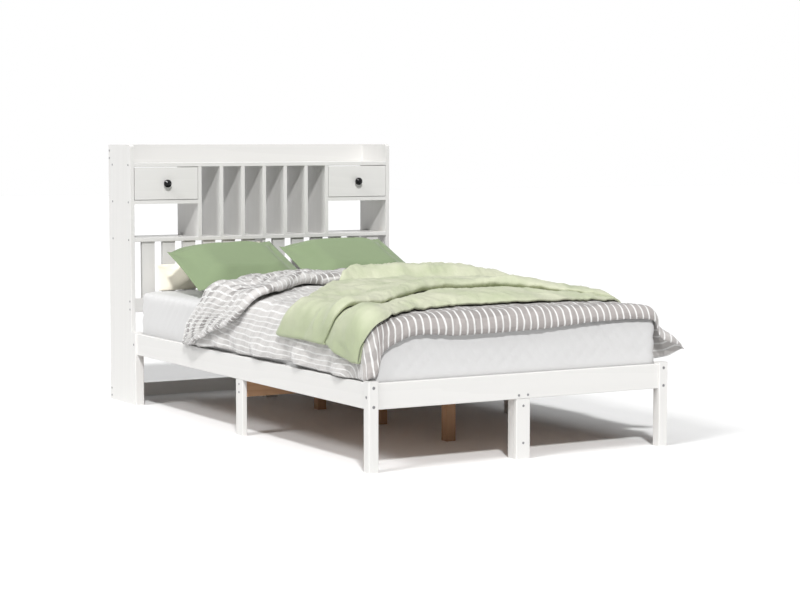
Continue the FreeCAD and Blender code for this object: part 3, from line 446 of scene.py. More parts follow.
def sheet_mesh(middle, half_thick):
    """Two skins either side of a grid of middle points, joined round its edge."""
    rows, columns, _ = middle.shape
    normal = np.cross(np.gradient(middle, axis=1), np.gradient(middle, axis=0))
    normal /= np.linalg.norm(normal, axis=2, keepdims=True) + 1e-12
    if normal[rows // 2, columns // 2, 2] < 0:
        normal = -normal
    upper = middle + normal * half_thick[..., None]
    lower = middle - normal * half_thick[..., None]
    count = rows * columns
    grid = np.arange(count).reshape(rows, columns)
    corners = [grid[:-1, :-1], grid[:-1, 1:], grid[1:, 1:], grid[1:, :-1]]
    quads = np.stack(corners, axis=-1).reshape(-1, 4)
    border = np.concatenate([grid[0], grid[1:, -1], grid[-1, -2::-1], grid[-2:0:-1, 0]])
    following = np.roll(border, -1)
    rim = np.stack([following, border, border + count, following + count], axis=-1)
    faces = np.concatenate([quads, quads[:, [0, 3, 2, 1]] + count, rim])
    return np.concatenate([upper.reshape(-1, 3), lower.reshape(-1, 3)]), faces.tolist()


def face_outwards(piece):
    made = bmesh.new()
    made.from_mesh(piece.data)
    bmesh.ops.recalc_face_normals(made, faces=made.faces)
    made.to_mesh(piece.data)
    made.free()


def run_lengths(middle):
    """The way along a grid's columns from its first row, and along its rows from the middle."""
    down = np.linalg.norm(np.diff(middle, axis=0), axis=2)
    path = np.concatenate([np.zeros((1, middle.shape[1])), np.cumsum(down, axis=0)])
    right = np.linalg.norm(np.diff(middle, axis=1), axis=2)
    reach = np.concatenate([np.zeros((len(middle), 1)), np.cumsum(right, axis=1)], axis=1)
    return path, reach - reach[:, middle.shape[1] // 2][:, None]


def cloth_piece(name, middle, half_thick, material, values):
    """A cloth round a grid of middle points, its UV map in metres, its values for both skins."""
    path, reach = run_lengths(middle)
    vertices, faces = sheet_mesh(middle, half_thick)
    uv = np.stack([reach.ravel(), path.ravel()], axis=1)
    twice = {key: np.tile(value.ravel(), 2) for key, value in values.items()}
    piece = new_piece(name, vertices, faces, material, np.concatenate([uv, uv]), twice)
    face_outwards(piece)
    return piece


# ---- bedding
MATTRESS_CROWN = 0.0075  # rise of its top to the middle
MATTRESS_SHOULDER = 0.008  # its node's top to the edge of the visible one
MATTRESS_PITCH = 0.014  # size of its mesh's squares
MATTRESS_PLAY = 0.0025  # room between it and a side rail
MATTRESS_UNEVEN = 0.0016  # height of its top's soft unevenness


class Cover:
    """The skin over the mattress that cloth follows, laid out flat.

    A place on it has its distance across from the middle, its distance from the foot edge,
    which is below zero where the cloth hangs over the foot, and its height over the skin.
    """

    corner = 0.034  # radius of the mattress's edges
    turn = 0.095  # length of cloth that bends from lying to hanging

    def __init__(self):
        self.low, self.high = MATTRESS_LOW, MATTRESS_HIGH
        self.half = (self.high.x - self.low.x) / 2 - self.corner
        self.foot = self.low.y + self.corner
        self.edge = self.high.z - MATTRESS_SHOULDER

    def top(self, x, y):
        """Height of the mattress's crowned top."""
        middle = np.clip(1 - (x / (self.half + self.corner)) ** 2, 0, 1)
        return self.edge + MATTRESS_CROWN * middle

    def squeeze(self, across, along):
        """How flat the cloth's layers lie at a place: full on top, pressed where they hang."""
        far = np.hypot(np.maximum(np.abs(across) - self.half, 0), np.maximum(-along, 0))
        return 1 - 0.5 * smooth_step(-0.02, self.turn, far)

    def points(self, across, along, height, flare):
        """Places in the bed's frame. Flare is how far hanging cloth stands out, per metre."""
        side = np.sign(across)
        over_side = np.maximum(np.abs(across) - self.half, 0)
        over_foot = np.maximum(-along, 0)
        far = np.hypot(over_side, over_foot)
        angle = np.arctan2(over_foot, over_side)
        bend = np.pi / 2 * np.clip(far / self.turn, 0, 1)
        hang = np.maximum(far - self.turn, 0)
        out = self.corner + height * self.squeeze(across, along)
        reach = np.where(far > 0, out * np.sin(bend) + flare * hang, 0)
        drop = self.corner - out * np.cos(bend)
        drop = drop + hang * np.sqrt(np.clip(1 - flare**2, 0.1, 1))
        x = np.clip(np.abs(across), 0, self.half) + reach * np.cos(angle)
        y = self.foot + np.maximum(along, 0) - reach * np.sin(angle)
        top = self.top(np.clip(across, -self.half, self.half), y)
        lifted = top + height * self.squeeze(across, along)
        return np.stack([side * x, y, np.where(far > 0, top - drop, lifted)], axis=-1)


def curve(stations, places):
    """A smooth line through a few (place, value) stations, read at many places."""
    at = np.array([s[0] for s in stations], float)
    value = np.array([s[1] for s in stations], float)
    slope = np.gradient(value, at)
    k = np.clip(np.searchsorted(at, places) - 1, 0, len(at) - 2)
    span = at[k + 1] - at[k]
    t = np.clip((places - at[k]) / span, 0, 1)
    h00, h10 = 2 * t**3 - 3 * t**2 + 1, t**3 - 2 * t**2 + t
    h01, h11 = -2 * t**3 + 3 * t**2, t**3 - t**2
    return h00 * value[k] + h10 * span * slope[k] + h01 * value[k + 1] + h11 * span * slope[k + 1]


# Each line is a row of places: across the bed (left below zero), along it from the mattress's
# foot edge. The throw's left hem and the duvet's fullness are levels along the way instead.
SIDE_REACH = 0.805  # the duvet's middle to its side hems
THROW_REACH = 0.745  # the throw's middle to its ends
CLOTH_GAP = 0.003  # room between cloth and what it lies on
FLAP_LIFT = 0.005  # room under the duvet and under its turned-back part, together
FLAP_OPENING = 0.009  # how far the free edge of that part stands open
FLAP_OPENING_LEFT = 0.013  # and how much more at the left
DUVET_COLUMNS = 226  # places across the duvet's mesh
DUVET_ROWS = 150  # rows of its lower part
FLAP_ROWS = 56  # rows of its turned-back part
FOLD_ROWS = 13  # rows round the fold, with the last below it and the first above
FOOT_HEM = [
    (-0.805, -0.060), (-0.760, -0.130), (-0.700, -0.180), (-0.650, -0.205),
    (-0.600, -0.190), (-0.554, -0.135), (-0.490, -0.102), (-0.250, -0.101),
    (0.120, -0.093), (0.340, -0.073), (0.540, -0.070), (0.620, -0.080),
    (0.700, -0.085), (0.805, -0.060),
]
HEAD_FOLD = [
    (-0.805, 1.432), (-0.692, 1.343), (-0.620, 1.235), (-0.516, 1.225),
    (-0.400, 1.290), (-0.250, 1.335), (0.000, 1.345), (0.400, 1.340),
    (0.805, 1.330),
]
FLAP_EDGE = [
    (-0.805, 1.385), (-0.718, 1.060), (-0.645, 0.880), (-0.600, 0.830),
    (-0.500, 0.850), (-0.380, 0.930), (-0.156, 0.975), (0.100, 0.960),
    (0.500, 0.930), (0.805, 0.950),
]
THROW_NEAR = [
    (-0.745, -0.010), (-0.640, -0.050), (-0.560, -0.035), (-0.440, 0.045),
    (-0.313, 0.115), (-0.180, 0.142), (0.180, 0.112), (0.383, 0.150),
    (0.573, 0.190), (0.745, 0.230),
]
THROW_FOLD = [
    (-0.745, 0.246), (-0.640, 0.160), (-0.520, 0.190), (-0.408, 0.250),
    (-0.250, 0.350), (-0.100, 0.415), (0.125, 0.425), (0.380, 0.345),
    (0.540, 0.280), (0.745, 0.250),
]
THROW_FAR = [
    (-0.745, 0.595), (-0.630, 0.520), (-0.500, 0.650), (-0.250, 0.915),
    (0.000, 1.095), (0.206, 1.180), (0.450, 1.195), (0.745, 1.190),
]
THROW_LEFT_HEM = [(0.0, 0.736), (0.30, 0.715), (0.42, 0.697), (0.62, 0.690), (1.0, 0.690)]
DUVET_FULLNESS = [
    (-0.25, 0.60), (-0.06, 0.88), (0.10, 0.74), (0.40, 1.10),
    (0.65, 1.32), (0.85, 1.42), (1.5, 1.30),
]


def puffed(across, along, scale, seed):
    """Soft noise over the cloth."""
    places = np.stack([np.ravel(across), np.ravel(along), np.zeros(np.size(across))], axis=1)
    return ripples(places, scale, 2, seed).reshape(np.shape(across))


def creased(across, along, scale, seed):
    """Ridges of crumpled cloth from 0 to 1: sharp on their crests, soft in their hollows."""
    return np.clip(1 - 1.5 * np.abs(puffed(across, along, scale, seed)), 0, 1) ** 1.6


def duvet_half(settings, across, along):
    """Half the thickness of the duvet's lower part at a place."""
    share = curve(DUVET_FULLNESS, along)
    share = share * (1 - 0.30 * smooth_step(0.36, 0.60, np.abs(across)))
    return settings.thickness / 2 * share * (1 + 0.12 * puffed(across, along, 3.2, 1))


def duvet_relief(settings, across, along):
    """Wrinkles that lift the duvet's lower part."""
    broad = creased(across * 0.8, along, 6.5, 3)
    narrow = creased(across, along * 0.8, 17.0, 4)
    return settings.wrinkle * (broad + 0.45 * narrow)


def ridge(value, place, width):
    """A bell that is 1 at its place."""
    return np.exp(-(((value - place) / width) ** 2))


def flap_half(settings, across, along, share):
    """Half the thickness of the part that is turned back, with its soft rolls."""
    roll = ridge(share, 0.84, 0.14) - 0.8 * ridge(share, 0.58, 0.10)
    puff = 1 + 0.20 * puffed(across, along, 4.5, 2)
    rolls = 0.0055 * roll + 0.003 * ridge(share, 0.20, 0.18)
    return settings.thickness / 2 * 0.72 * puff + rolls


def duvet_depth(settings, across, along):
    """Full thickness of the duvet's lower part, with its wrinkles."""
    return 2 * duvet_half(settings, across, along) + duvet_relief(settings, across, along)


def flap_relief(settings, across, along):
    """Wrinkles that lift the part that is turned back."""
    broad, narrow = creased(across * 0.9, along, 8.0, 6), creased(across, along, 20.0, 7)
    return settings.wrinkle * (broad + 0.5 * narrow)


def duvet_top(settings, across, along):
    """Height of the duvet's upper skin over the mattress, with its turned-back part."""
    lower = CLOTH_GAP + duvet_depth(settings, across, along)
    fold, edge = curve(HEAD_FOLD, across), curve(FLAP_EDGE, across)
    share = np.clip((fold - along) / (fold - edge), 0, 1)
    flap = 2 * flap_half(settings, across, along, share) + flap_relief(settings, across, along)
    turned = smooth_step(edge - 0.035, edge + 0.012, along)
    turned = turned * (1 - smooth_step(fold, fold + 0.05, along))
    return lower + turned * (0.001 + flap)


def duvet_flare(across, along):
    """How far hanging cloth stands out: soft upright folds, and a fin at the right foot corner."""
    hang = np.maximum(np.abs(across) - 0.66, 0)
    wave = np.sin(along * 17.0 + 1.5 * np.sin(along * 4.1 + 2 * across))
    wave = wave + 0.6 * np.sin(along * 39.0 + 2.0)
    flare = 0.02 + 0.085 * wave * smooth_step(0.0, 0.12, hang)
    over_foot, over_side = np.maximum(-along, 0), np.maximum(np.abs(across) - 0.57, 0)
    corner = np.arctan2(over_foot, over_side)
    fin = ridge(corner, 0.30, 0.34) * smooth_step(0.03, 0.16, over_side)
    size = np.where(across > 0, 0.72, 0.06)
    near_foot = 1 - smooth_step(-0.02, 0.10, along)
    return flare + size * fin * near_foot


def lower_rows(settings, columns, foot, fold):
    """The duvet from its foot hem to the fold. A row has its places along the bed, its heights,
    its half thickness, and how far it is turned back."""
    rows = []
    for t in np.linspace(0, 1, DUVET_ROWS):
        along = foot + (fold - foot) * t
        half = duvet_half(settings, columns, along)
        lift = duvet_relief(settings, columns, along)
        rows.append((along, CLOTH_GAP + half + lift, half, np.zeros_like(columns)))
    return rows


def flap_rows(settings, columns, fold, edge):
    """The part that is turned back, from the fold to its free edge, which stands open."""
    rows = []
    opening = FLAP_OPENING + FLAP_OPENING_LEFT * smooth_step(0.45, 0.64, -columns)
    for t in np.linspace(0, 1, FLAP_ROWS):
        along = fold + (edge - fold) * t
        half = flap_half(settings, columns, along, t)
        lift = flap_relief(settings, columns, along) * (1 - smooth_step(0.85, 1.0, t))
        lift = lift + opening * smooth_step(0.84, 0.98, t)
        rise = half * (1 - 0.45 * smooth_step(0.94, 1.0, t)) + lift
        height = FLAP_LIFT + duvet_depth(settings, columns, along) + rise
        rows.append((along, height, half, np.ones_like(columns)))
    return rows


def fold_rows(fold, below, above):
    """The half circle at the head, between the last row below it and the first above."""
    low, high = below[1], above[1]
    radius = (high - low) / 2
    rows = []
    for t in np.linspace(0, 1, FOLD_ROWS)[1:-1]:
        along = fold + 1.25 * radius * np.sin(np.pi * t)
        height = low + radius * (1 - np.cos(np.pi * t))
        half = below[2] + (above[2] - below[2]) * t
        rows.append((along, height, half, np.full_like(fold, t)))
    return rows


def build_duvet(settings, cover, material):
    """One cloth from its foot hem to the head, round the fold there, and back to its free edge."""
    columns = np.linspace(-SIDE_REACH, SIDE_REACH, DUVET_COLUMNS)
    foot, fold, edge = (curve(line, columns) for line in (FOOT_HEM, HEAD_FOLD, FLAP_EDGE))
    lower = lower_rows(settings, columns, foot, fold)
    upper = flap_rows(settings, columns, fold, edge)
    rows = lower + fold_rows(fold, lower[-1], upper[0]) + upper
    along, height, half, turned = (np.array([row[k] for row in rows]) for k in range(4))
    across = np.tile(columns, (len(along), 1))
    beside = smooth_step(0.10, 0.45, along) * (1 - smooth_step(1.15, 1.38, along))
    scallop = 0.60 + 0.40 * np.sin(along * 13.0 + 1.2 * np.sin(along * 5.0))
    across = across * (1 - 0.017 * beside * scallop)
    middle = cover.points(across, along, height, duvet_flare(across, along))

    path, reach = run_lengths(middle)
    to_hem = np.minimum(path, path[-1] - path)
    to_side = np.minimum(reach - reach[:, :1], reach[:, -1:] - reach)
    from_hem = np.where(turned < 1, to_hem, 0.012 + 1.6 * to_hem)
    taper = 0.16 + 0.84 * np.sqrt(np.clip(np.minimum(from_hem, to_side) / 0.05, 0, 1))
    thick = half * taper * cover.squeeze(across, along)
    # Painted light: the share of lit ground, none at the foot, full at the side and towards the
    # head.
    washed = smooth_step(0.02, 0.40, along + 0.25 * (np.abs(across) > 0.60))
    values = {"turned_back": turned, "washed": washed}
    return cloth_piece("duvet_cover", middle, thick, material, values)


THROW_HEM = 0.008  # how far the turn at its left end reaches out
THROW_END_RISE = 0.016  # how far the upper side of that end stands up
THROW_UNDER = (-0.675, -0.742)  # places across between which that end is turned under
THROW_GAP = 0.004  # room between the throw and the duvet
THROW_COLUMNS = 230  # places across the throw's upper side
THROW_ROWS = 190  # rows along it

# The throw's way over the duvet: between which two of its lines a station lies (0 near edge,
# 1 pleat, 2 far edge), a shift along the bed, and the height over the duvet. At the pleat the
# cloth runs back under itself and comes out on top again.
THROW_PATH = [
    (0.00, 0.000, 0.003), (0.00, 0.018, 0.012), (0.00, 0.050, 0.020),
    (0.40, 0.000, 0.024), (0.72, 0.000, 0.020), (0.90, 0.000, 0.010),
    (1.00, 0.020, 0.004), (1.00, 0.040, 0.008), (1.00, 0.020, 0.014),
    (1.00, -0.006, 0.021), (1.00, -0.014, 0.031), (1.00, 0.012, 0.041),
    (1.08, 0.000, 0.042), (1.28, 0.000, 0.027), (1.40, 0.000, 0.014),
    (1.55, 0.000, 0.017), (1.72, 0.000, 0.014), (1.88, 0.000, 0.010),
    (2.00, -0.020, 0.012), (2.00, 0.000, 0.003),
]


def throw_columns():
    """The throw's places across, and how far each is on the upper side, from 0 to 1.

    Its left end is turned under: the first columns lie below, the next go round the hem.
    """
    turn = np.pi * np.linspace(0, 1, 9)[:-1]
    under = np.linspace(*THROW_UNDER, 10)
    hem = -THROW_REACH - THROW_HEM * np.sin(turn)
    top = np.linspace(-THROW_REACH, THROW_REACH, THROW_COLUMNS)
    upper = [np.zeros(len(under)), (1 - np.cos(turn)) / 2, np.ones(len(top))]
    return np.concatenate([under, hem, top]), np.concatenate(upper)


def build_throw(settings, duvet_settings, cover, material):
    """A quilted throw across the bed, with one deep pleat where it is folded over itself."""
    columns, upper = throw_columns()
    near, fold, far = (curve(line, columns) for line in (THROW_NEAR, THROW_FOLD, THROW_FAR))
    keys = np.arange(len(THROW_PATH), dtype=float)
    fine = np.linspace(0, len(THROW_PATH) - 1, THROW_ROWS)
    stations = []
    for line, shift, _ in THROW_PATH:
        first, second, share = (near, fold, line) if line <= 1 else (fold, far, line - 1)
        stations.append(first + (second - first) * share + shift)
    routes = [curve(list(zip(keys, route)), fine) for route in np.array(stations).T]
    along = np.array(routes).T
    lift = curve([(key, station[2]) for key, station in zip(keys, THROW_PATH)], fine)
    way = curve([(key, station[0] / 2) for key, station in zip(keys, THROW_PATH)], fine)
    left = curve(THROW_LEFT_HEM, way)[:, None] / THROW_REACH
    across = np.tile(columns, (len(fine), 1))
    across = np.where(across < 0, across * left, across * 0.94)

    soft = puffed(across * 0.35, along, 9.0, 5)
    fuller = 1 + 0.40 * puffed(across, along * 0.6, 3.0, 9) + 0.25 * soft
    crumple = creased(across * 0.45, along, 11.0, 11) + 0.5 * creased(across * 0.7, along, 26.0, 12)
    flatter = 1 - 0.55 * smooth_step(0.25, 0.58, across)
    calm = 1 - 0.90 * smooth_step(0.50, 0.62, -across)
    raised = THROW_END_RISE * smooth_step(0.44, 0.62, -across)
    rise = np.clip(lift[:, None], CLOTH_GAP, 1) * fuller * flatter
    rise = rise + settings.wrinkle * crumple * calm
    rise = rise + raised * np.where(upper > 0.5, upper, 0)
    bare = duvet_top(duvet_settings, across, along) + THROW_GAP
    height = bare + (rise + 0.001) * upper
    flare = 0.8 * duvet_flare(across, np.maximum(along, 0)) + 0.04
    middle = cover.points(across, along, height, flare)
    half_thick = np.full(across.shape, settings.thickness / 2)
    # Painted sheen: the share of paler colour is full over the bed and drops at the left end, which
    # hangs down.
    faded = 1 - 0.75 * smooth_step(0.54, 0.70, -across)
    return cloth_piece("throw_cover", middle, half_thick, material, {"faded": faded})


def block_grid(size, pitch):
    """Points and faces of a closed box round the origin, in squares of about a pitch."""
    counts = [max(2, round(side / pitch)) for side in size]
    found, spots, faces = {}, [], []

    def corner(key):
        if key not in found:
            found[key] = len(spots)
            spots.append([size[a] * (key[a] / counts[a] - 0.5) for a in range(3)])
        return found[key]

    for axis in range(3):
        first, second = (axis + 1) % 3, (axis + 2) % 3
        for face_side in (0, counts[axis]):
            for i in range(counts[first]):
                for j in range(counts[second]):
                    ring = []
                    for di, dj in ((0, 0), (1, 0), (1, 1), (0, 1)):
                        key = [0, 0, 0]
                        key[axis], key[first], key[second] = face_side, i + di, j + dj
                        ring.append(corner(tuple(key)))
                    faces.append(ring if face_side else ring[::-1])
    return np.array(spots), faces


def build_mattress(settings, cover, material):
    """A crowned block with rounded edges, quilted in diagonal diamonds above the rails."""
    low, high = cover.low, cover.high
    rail_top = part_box("side_rail_left")[1][2]
    size = np.array((high.x - low.x, high.y - low.y, cover.edge - low.z))
    spots, faces = block_grid(size, MATTRESS_PITCH)
    half = size / 2
    inner = np.clip(spots, cover.corner - half, half - cover.corner)
    away = spots - inner
    out = away / np.maximum(np.linalg.norm(away, axis=1, keepdims=True), 1e-9)
    centre = np.array([(low.x + high.x) / 2, (low.y + high.y) / 2, low.z + half[2]])
    spots = inner + out * cover.corner + centre

    seam_u = (spots[:, 0] + spots[:, 1] + spots[:, 2]) / settings.cell
    seam_v = (spots[:, 0] - spots[:, 1] - spots[:, 2]) / settings.cell
    puff = np.abs(np.sin(np.pi * seam_u)) * np.abs(np.sin(np.pi * seam_v))
    quilt = settings.depth * (np.sqrt(puff) - 1.0) + MATTRESS_UNEVEN * ripples(spots, 6.0, 3, 8)
    spots += out * (quilt * smooth_step(rail_top, rail_top + 0.05, spots[:, 2]))[:, None]
    crown = MATTRESS_CROWN * np.clip(1 - (spots[:, 0] / half[0]) ** 2, 0, 1)
    spots[:, 2] += crown * smooth_step(0.45, 1.0, (spots[:, 2] - low.z) / size[2])
    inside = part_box("side_rail_right")[0][0] - MATTRESS_PLAY
    squeeze = 1 - smooth_step(rail_top, rail_top + 0.04, spots[:, 2])
    narrowed = np.clip(spots[:, 0], -inside, inside)
    spots[:, 0] += (narrowed - spots[:, 0]) * squeeze
    piece = new_piece("mattress_cover", spots, faces, material, spots[:, :2])
    face_outwards(piece)
    return piece


PILLOW_PITCH = 0.011  # size of the cloth's squares
PILLOW_SEWN = 1.06  # width of the empty pillow over that of the filled one
PILLOW_SWELL = 0.09  # furthest that the filling moves the cloth
PILLOW_SEAM = 0.003  # half the distance between the two layers at the seam
PILLOW_LOFT = 0.012  # how much more it is in the middle, before filling
PILLOW_CREASE = 0.0045  # height of the creases that fan out from the upper corners
PILLOW_REACH = 0.018  # how far a front pillow's right end stands past its node
PILLOW_REACH_FRONT = 0.016  # and how much more at its front
PILLOW_SINK = 0.014  # how far a slumped end sinks below its node
PILLOW_CLOTH = {
    "quality": 6,
    "mass": 0.25,
    "tension_stiffness": 25,
    "compression_stiffness": 20,
    "shear_stiffness": 8,
    "bending_stiffness": 0.6,
    "use_pressure": True,
}


def pillow_blank(wide, deep):
    """Two flat layers of cloth sewn together round their edge, ready to be filled."""
    columns, rows = round(wide / PILLOW_PITCH), round(deep / PILLOW_PITCH)
    spots, faces = [], []
    for side in (1, -1):
        for i in range(rows + 1):
            for j in range(columns + 1):
                u, v = 2 * j / columns - 1, 2 * i / rows - 1
                gap = PILLOW_SEAM + PILLOW_LOFT * (1 - u**6) * (1 - v**6)
                spots.append((u * wide / 2, v * deep / 2, side * gap))
    layer = (rows + 1) * (columns + 1)

    def sew(*corners):
        faces.append([side * layer + i * (columns + 1) + j for side, i, j in corners])

    for i in range(rows):
        for j in range(columns):
            sew((0, i, j), (0, i, j + 1), (0, i + 1, j + 1), (0, i + 1, j))
            sew((1, i, j), (1, i + 1, j), (1, i + 1, j + 1), (1, i, j + 1))
    for j in range(columns):
        sew((0, 0, j), (1, 0, j), (1, 0, j + 1), (0, 0, j + 1))
        sew((0, rows, j), (0, rows, j + 1), (1, rows, j + 1), (1, rows, j))
    for i in range(rows):
        sew((0, i, 0), (0, i + 1, 0), (1, i + 1, 0), (1, i, 0))
        sew((0, i, columns), (1, i, columns), (1, i + 1, columns), (0, i + 1, columns))
    return spots, faces


def fill(piece, settings):
    """Swell a closed cloth by pressure, and cap how far any point of it may move."""
    start = np.array([v.co for v in piece.data.vertices])
    cloth = piece.modifiers.new("filling", "CLOTH")
    for name, value in PILLOW_CLOTH.items():
        setattr(cloth.settings, name, value)
    cloth.settings.uniform_pressure_force = settings.pressure
    cloth.settings.effector_weights.gravity = 0
    cloth.collision_settings.use_collision = False
    cloth.point_cache.frame_start = 1
    cloth.point_cache.frame_end = settings.frames
    scene = bpy.context.scene
    for step in range(1, settings.frames + 1):
        scene.frame_set(step)
    shown = piece.evaluated_get(bpy.context.evaluated_depsgraph_get())
    ended = np.array([v.co for v in shown.data.vertices])
    piece.modifiers.remove(cloth)
    scene.frame_set(1)
    moved = (ended - start) * np.array([settings.draw_in, settings.draw_in, 1])
    far = np.linalg.norm(moved, axis=1, keepdims=True)
    capped = start + moved * np.minimum(1, PILLOW_SWELL / np.maximum(far, 1e-9))
    piece.data.vertices.foreach_set("co", capped.ravel())
    piece.data.update()


def fit_box(spots, low, high):
    """Stretch points so that they fill a box."""
    spots = spots - (spots.max(axis=0) + spots.min(axis=0)) / 2
    return spots * (high - low) / (spots.max(axis=0) - spots.min(axis=0)) + (low + high) / 2


def shape_pillow(spots, size, droop):
    """Give a filled pillow its size, a limp and a raised top corner, thin ends and creases."""
    half = np.array(size) / 2
    spots = fit_box(spots, -half, half)
    x, y = (spots / half)[:, :2].T
    spots[:, 1] -= droop * smooth_step(0.55, 1.0, -x) * smooth_step(0.30, 1.0, y)
    spots[:, 1] += 0.55 * droop * smooth_step(0.55, 1.0, x) * smooth_step(0.30, 1.0, y)
    from_middle = np.abs(x)
    spots[:, 2] *= 1 - 0.80 * smooth_step(0.48, 1.0, from_middle)
    fan = np.arctan2(1.02 - from_middle, 1.02 - y)
    near_end = smooth_step(0.55, 0.90, from_middle) * smooth_step(1.0, 0.93, from_middle)
    spots[:, 2] += PILLOW_CREASE * np.sin(13.0 * fan) * near_end
    spots[:, 2] += 0.05 * size[2] * np.sin(4.0 * x + 1.0) * y
    return spots


def lay_pillow(piece, node, size, lean, turn, droop, slump):
    """Shape a filled pillow, lean it back and seat it in its node's box.

    Droop is how far its upper left corner hangs down, slump how much lower its left end is.
    """
    spots = shape_pillow(np.array([v.co for v in piece.data.vertices]), size, droop)
    turned = Matrix.Rotation(turn, 3, "Z") @ Matrix.Rotation(math.pi / 2 - lean, 3, "X")
    low, high = (np.array(corner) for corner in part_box(node))
    spots = fit_box(spots @ np.array(turned).T, low, high)
    if not slump:
        right, back, _ = ((spots - low) / (high - low)).T
        spots[:, 0] += PILLOW_REACH * right + PILLOW_REACH_FRONT * (1 - back) * right
    left = (high[0] - spots[:, 0]) / (high[0] - low[0])
    lowered = slump * smooth_step(0.45, 0.85, left)
    spots[:, 2] = low[2] + (spots[:, 2] - low[2]) * (1 - lowered) - PILLOW_SINK * lowered
    piece.data.vertices.foreach_set("co", spots.ravel())
    piece.data.update()


# ---- repeated pieces
def socket_value(modifier, name, value):
    """Set a modifier's input by its socket's identifier."""
    for item in modifier.node_group.interface.items_tree:
        if item.item_type == "SOCKET" and item.in_out == "INPUT" and item.name == name:
            modifier[item.identifier] = value
            return
    raise KeyError(name)


def screw_heads_tree():
    """Geometry nodes: a dished head with a hexagon socket on every point, facing its normal."""
    tree = bpy.data.node_groups.new("screw_heads", "GeometryNodeTree")
    for name, way, kind in (
        ("Geometry", "INPUT", "Geometry"),
        ("Radius", "INPUT", "Float"),
        ("Rise", "INPUT", "Float"),
        ("Socket", "INPUT", "Float"),
        ("Finish", "INPUT", "Material"),
        ("Geometry", "OUTPUT", "Geometry"),
    ):
        tree.interface.new_socket(name, in_out=way, socket_type=f"NodeSocket{kind}")
    made = Finish(tree)
    given = made.node("NodeGroupInput")
    rise = given.part("Rise")

    def prism(sides, radius, depth):
        inputs = {"Vertices": sides, "Radius": given.part(radius), "Depth": depth}
        return made.node("GeometryNodeMeshCylinder", {"fill_type": "NGON"}, inputs)

    disc, socket = prism(24, "Radius", rise * 2.0), prism(6, "Socket", rise)
    lift = made.node("ShaderNodeCombineXYZ", None, {"Z": rise})
    raised = made.node("GeometryNodeTransform", None, {"Geometry": socket, "Translation": lift})
    carving = {"operation": "DIFFERENCE", "solver": "EXACT"}
    head = made.node("GeometryNodeMeshBoolean", carving, {0: disc, 1: raised})
    kind = {"data_type": "FLOAT_VECTOR"}
    facing = made.node("GeometryNodeInputNamedAttribute", kind, {"Name": "facing"})
    turn = made.node("FunctionNodeAlignRotationToVector", {"axis": "Z"}, {"Vector": facing})
    inputs = {"Points": given, "Instance": head, "Rotation": turn}
    heads = made.node("GeometryNodeInstanceOnPoints", None, inputs)
    real = made.node("GeometryNodeRealizeInstances", None, {"Geometry": heads})
    inputs = {"Geometry": real, "Material": given.part("Finish")}
    painted = made.node("GeometryNodeSetMaterial", None, inputs)
    made.node("NodeGroupOutput", None, {"Geometry": painted})
    return tree


def made_real(piece):
    """Turn what a piece's modifiers make into a plain mesh, and take the modifiers off."""
    shown = piece.evaluated_get(bpy.context.evaluated_depsgraph_get())
    mesh = bpy.data.meshes.new_from_object(shown)
    piece.modifiers.clear()
    piece.data = mesh
    return piece


SHELF_SCREW_IN = 0.023  # shelf's edge to its screws
MID_POST_SCREW_DOWN = 0.010  # middle post's top to its screws
LEG_SCREW_DOWN = 0.025  # foot leg's top to its upper screw
LEG_SCREW_HIGH = 0.057  # floor to its lower screw
CROSS_BEAM_SCREWS = (0.265, 0.735)  # shares of the beam's height


def middle_of(node, axis):
    low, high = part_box(node)
    return (low[axis] + high[axis]) / 2


def screw_places():
    """Where the wood screws' heads lie, and which way each faces."""
    case_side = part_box("headboard_side_right")[1][0]
    rail_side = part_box("side_rail_right")[1][0]
    beam_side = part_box("centre_beam")[1][0]
    post_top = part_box("mid_posts")[1][2]
    rows = []
    for shelf in ("lower_shelf", "drawer_shelf_left", "top_shelf"):
        front, back = (corner[1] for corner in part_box(shelf))
        level = middle_of(shelf, 2)
        rows += [(front + SHELF_SCREW_IN, level), (back - SHELF_SCREW_IN, level)]
    # Each of these boards has two screws, this far above and below its middle.
    for node, offset in (
        ("upper_back_board", 0.016),
        ("kick_board", 0.0155),
        ("lattice_rail_left", 0.017),
    ):
        y, z = middle_of(node, 1), middle_of(node, 2)
        rows += [(y, z - offset), (y, z + offset)]
    beam_low, beam_high = (corner[2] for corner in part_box("cross_beam"))
    places = []
    for side in (-1, 1):
        places += [((side * case_side, y, z), (side, 0, 0)) for y, z in rows]
        for share in CROSS_BEAM_SCREWS:
            z = beam_low + share * (beam_high - beam_low)
            places.append(((side * rail_side, middle_of("cross_beam", 1), z), (side, 0, 0)))
        for node, face, way in (("foot_rail", 0, -1), ("head_rail", 1, 1)):
            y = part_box(node)[face][1]
            places.append(((side * beam_side, y, post_top - MID_POST_SCREW_DOWN), (0, way, 0)))
    leg_low, leg_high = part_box("foot_mid_leg")
    for z in (leg_high[2] - LEG_SCREW_DOWN, LEG_SCREW_HIGH):
        places.append(((0.0, leg_low[1], z), (0, -1, 0)))
    return places


# ---- operators
def settings_of(context, name):
    return getattr(context.scene, name)


def paint(node, material):
    node.data.materials.clear()
    node.data.materials.append(material)


# The grain of pieces whose node holds several, so that its box doesn't tell.
GROUP_GRAIN = {
    "bed_slats": "x",
    "mid_posts": "z",
    "centre_legs": "z",
    "lattice_slats_left": "z",
    "lattice_slats_right": "z",
}
SCREW_RISE = 0.0007  # height of a wood screw's head
SCREW_SOCKET = 0.45  # its socket's radius over its own
FLOOR_SIZE = 60  # metres, so that its edge is never seen
SENSOR_WIDTH = 36.0  # millimetres, as the camera's lens


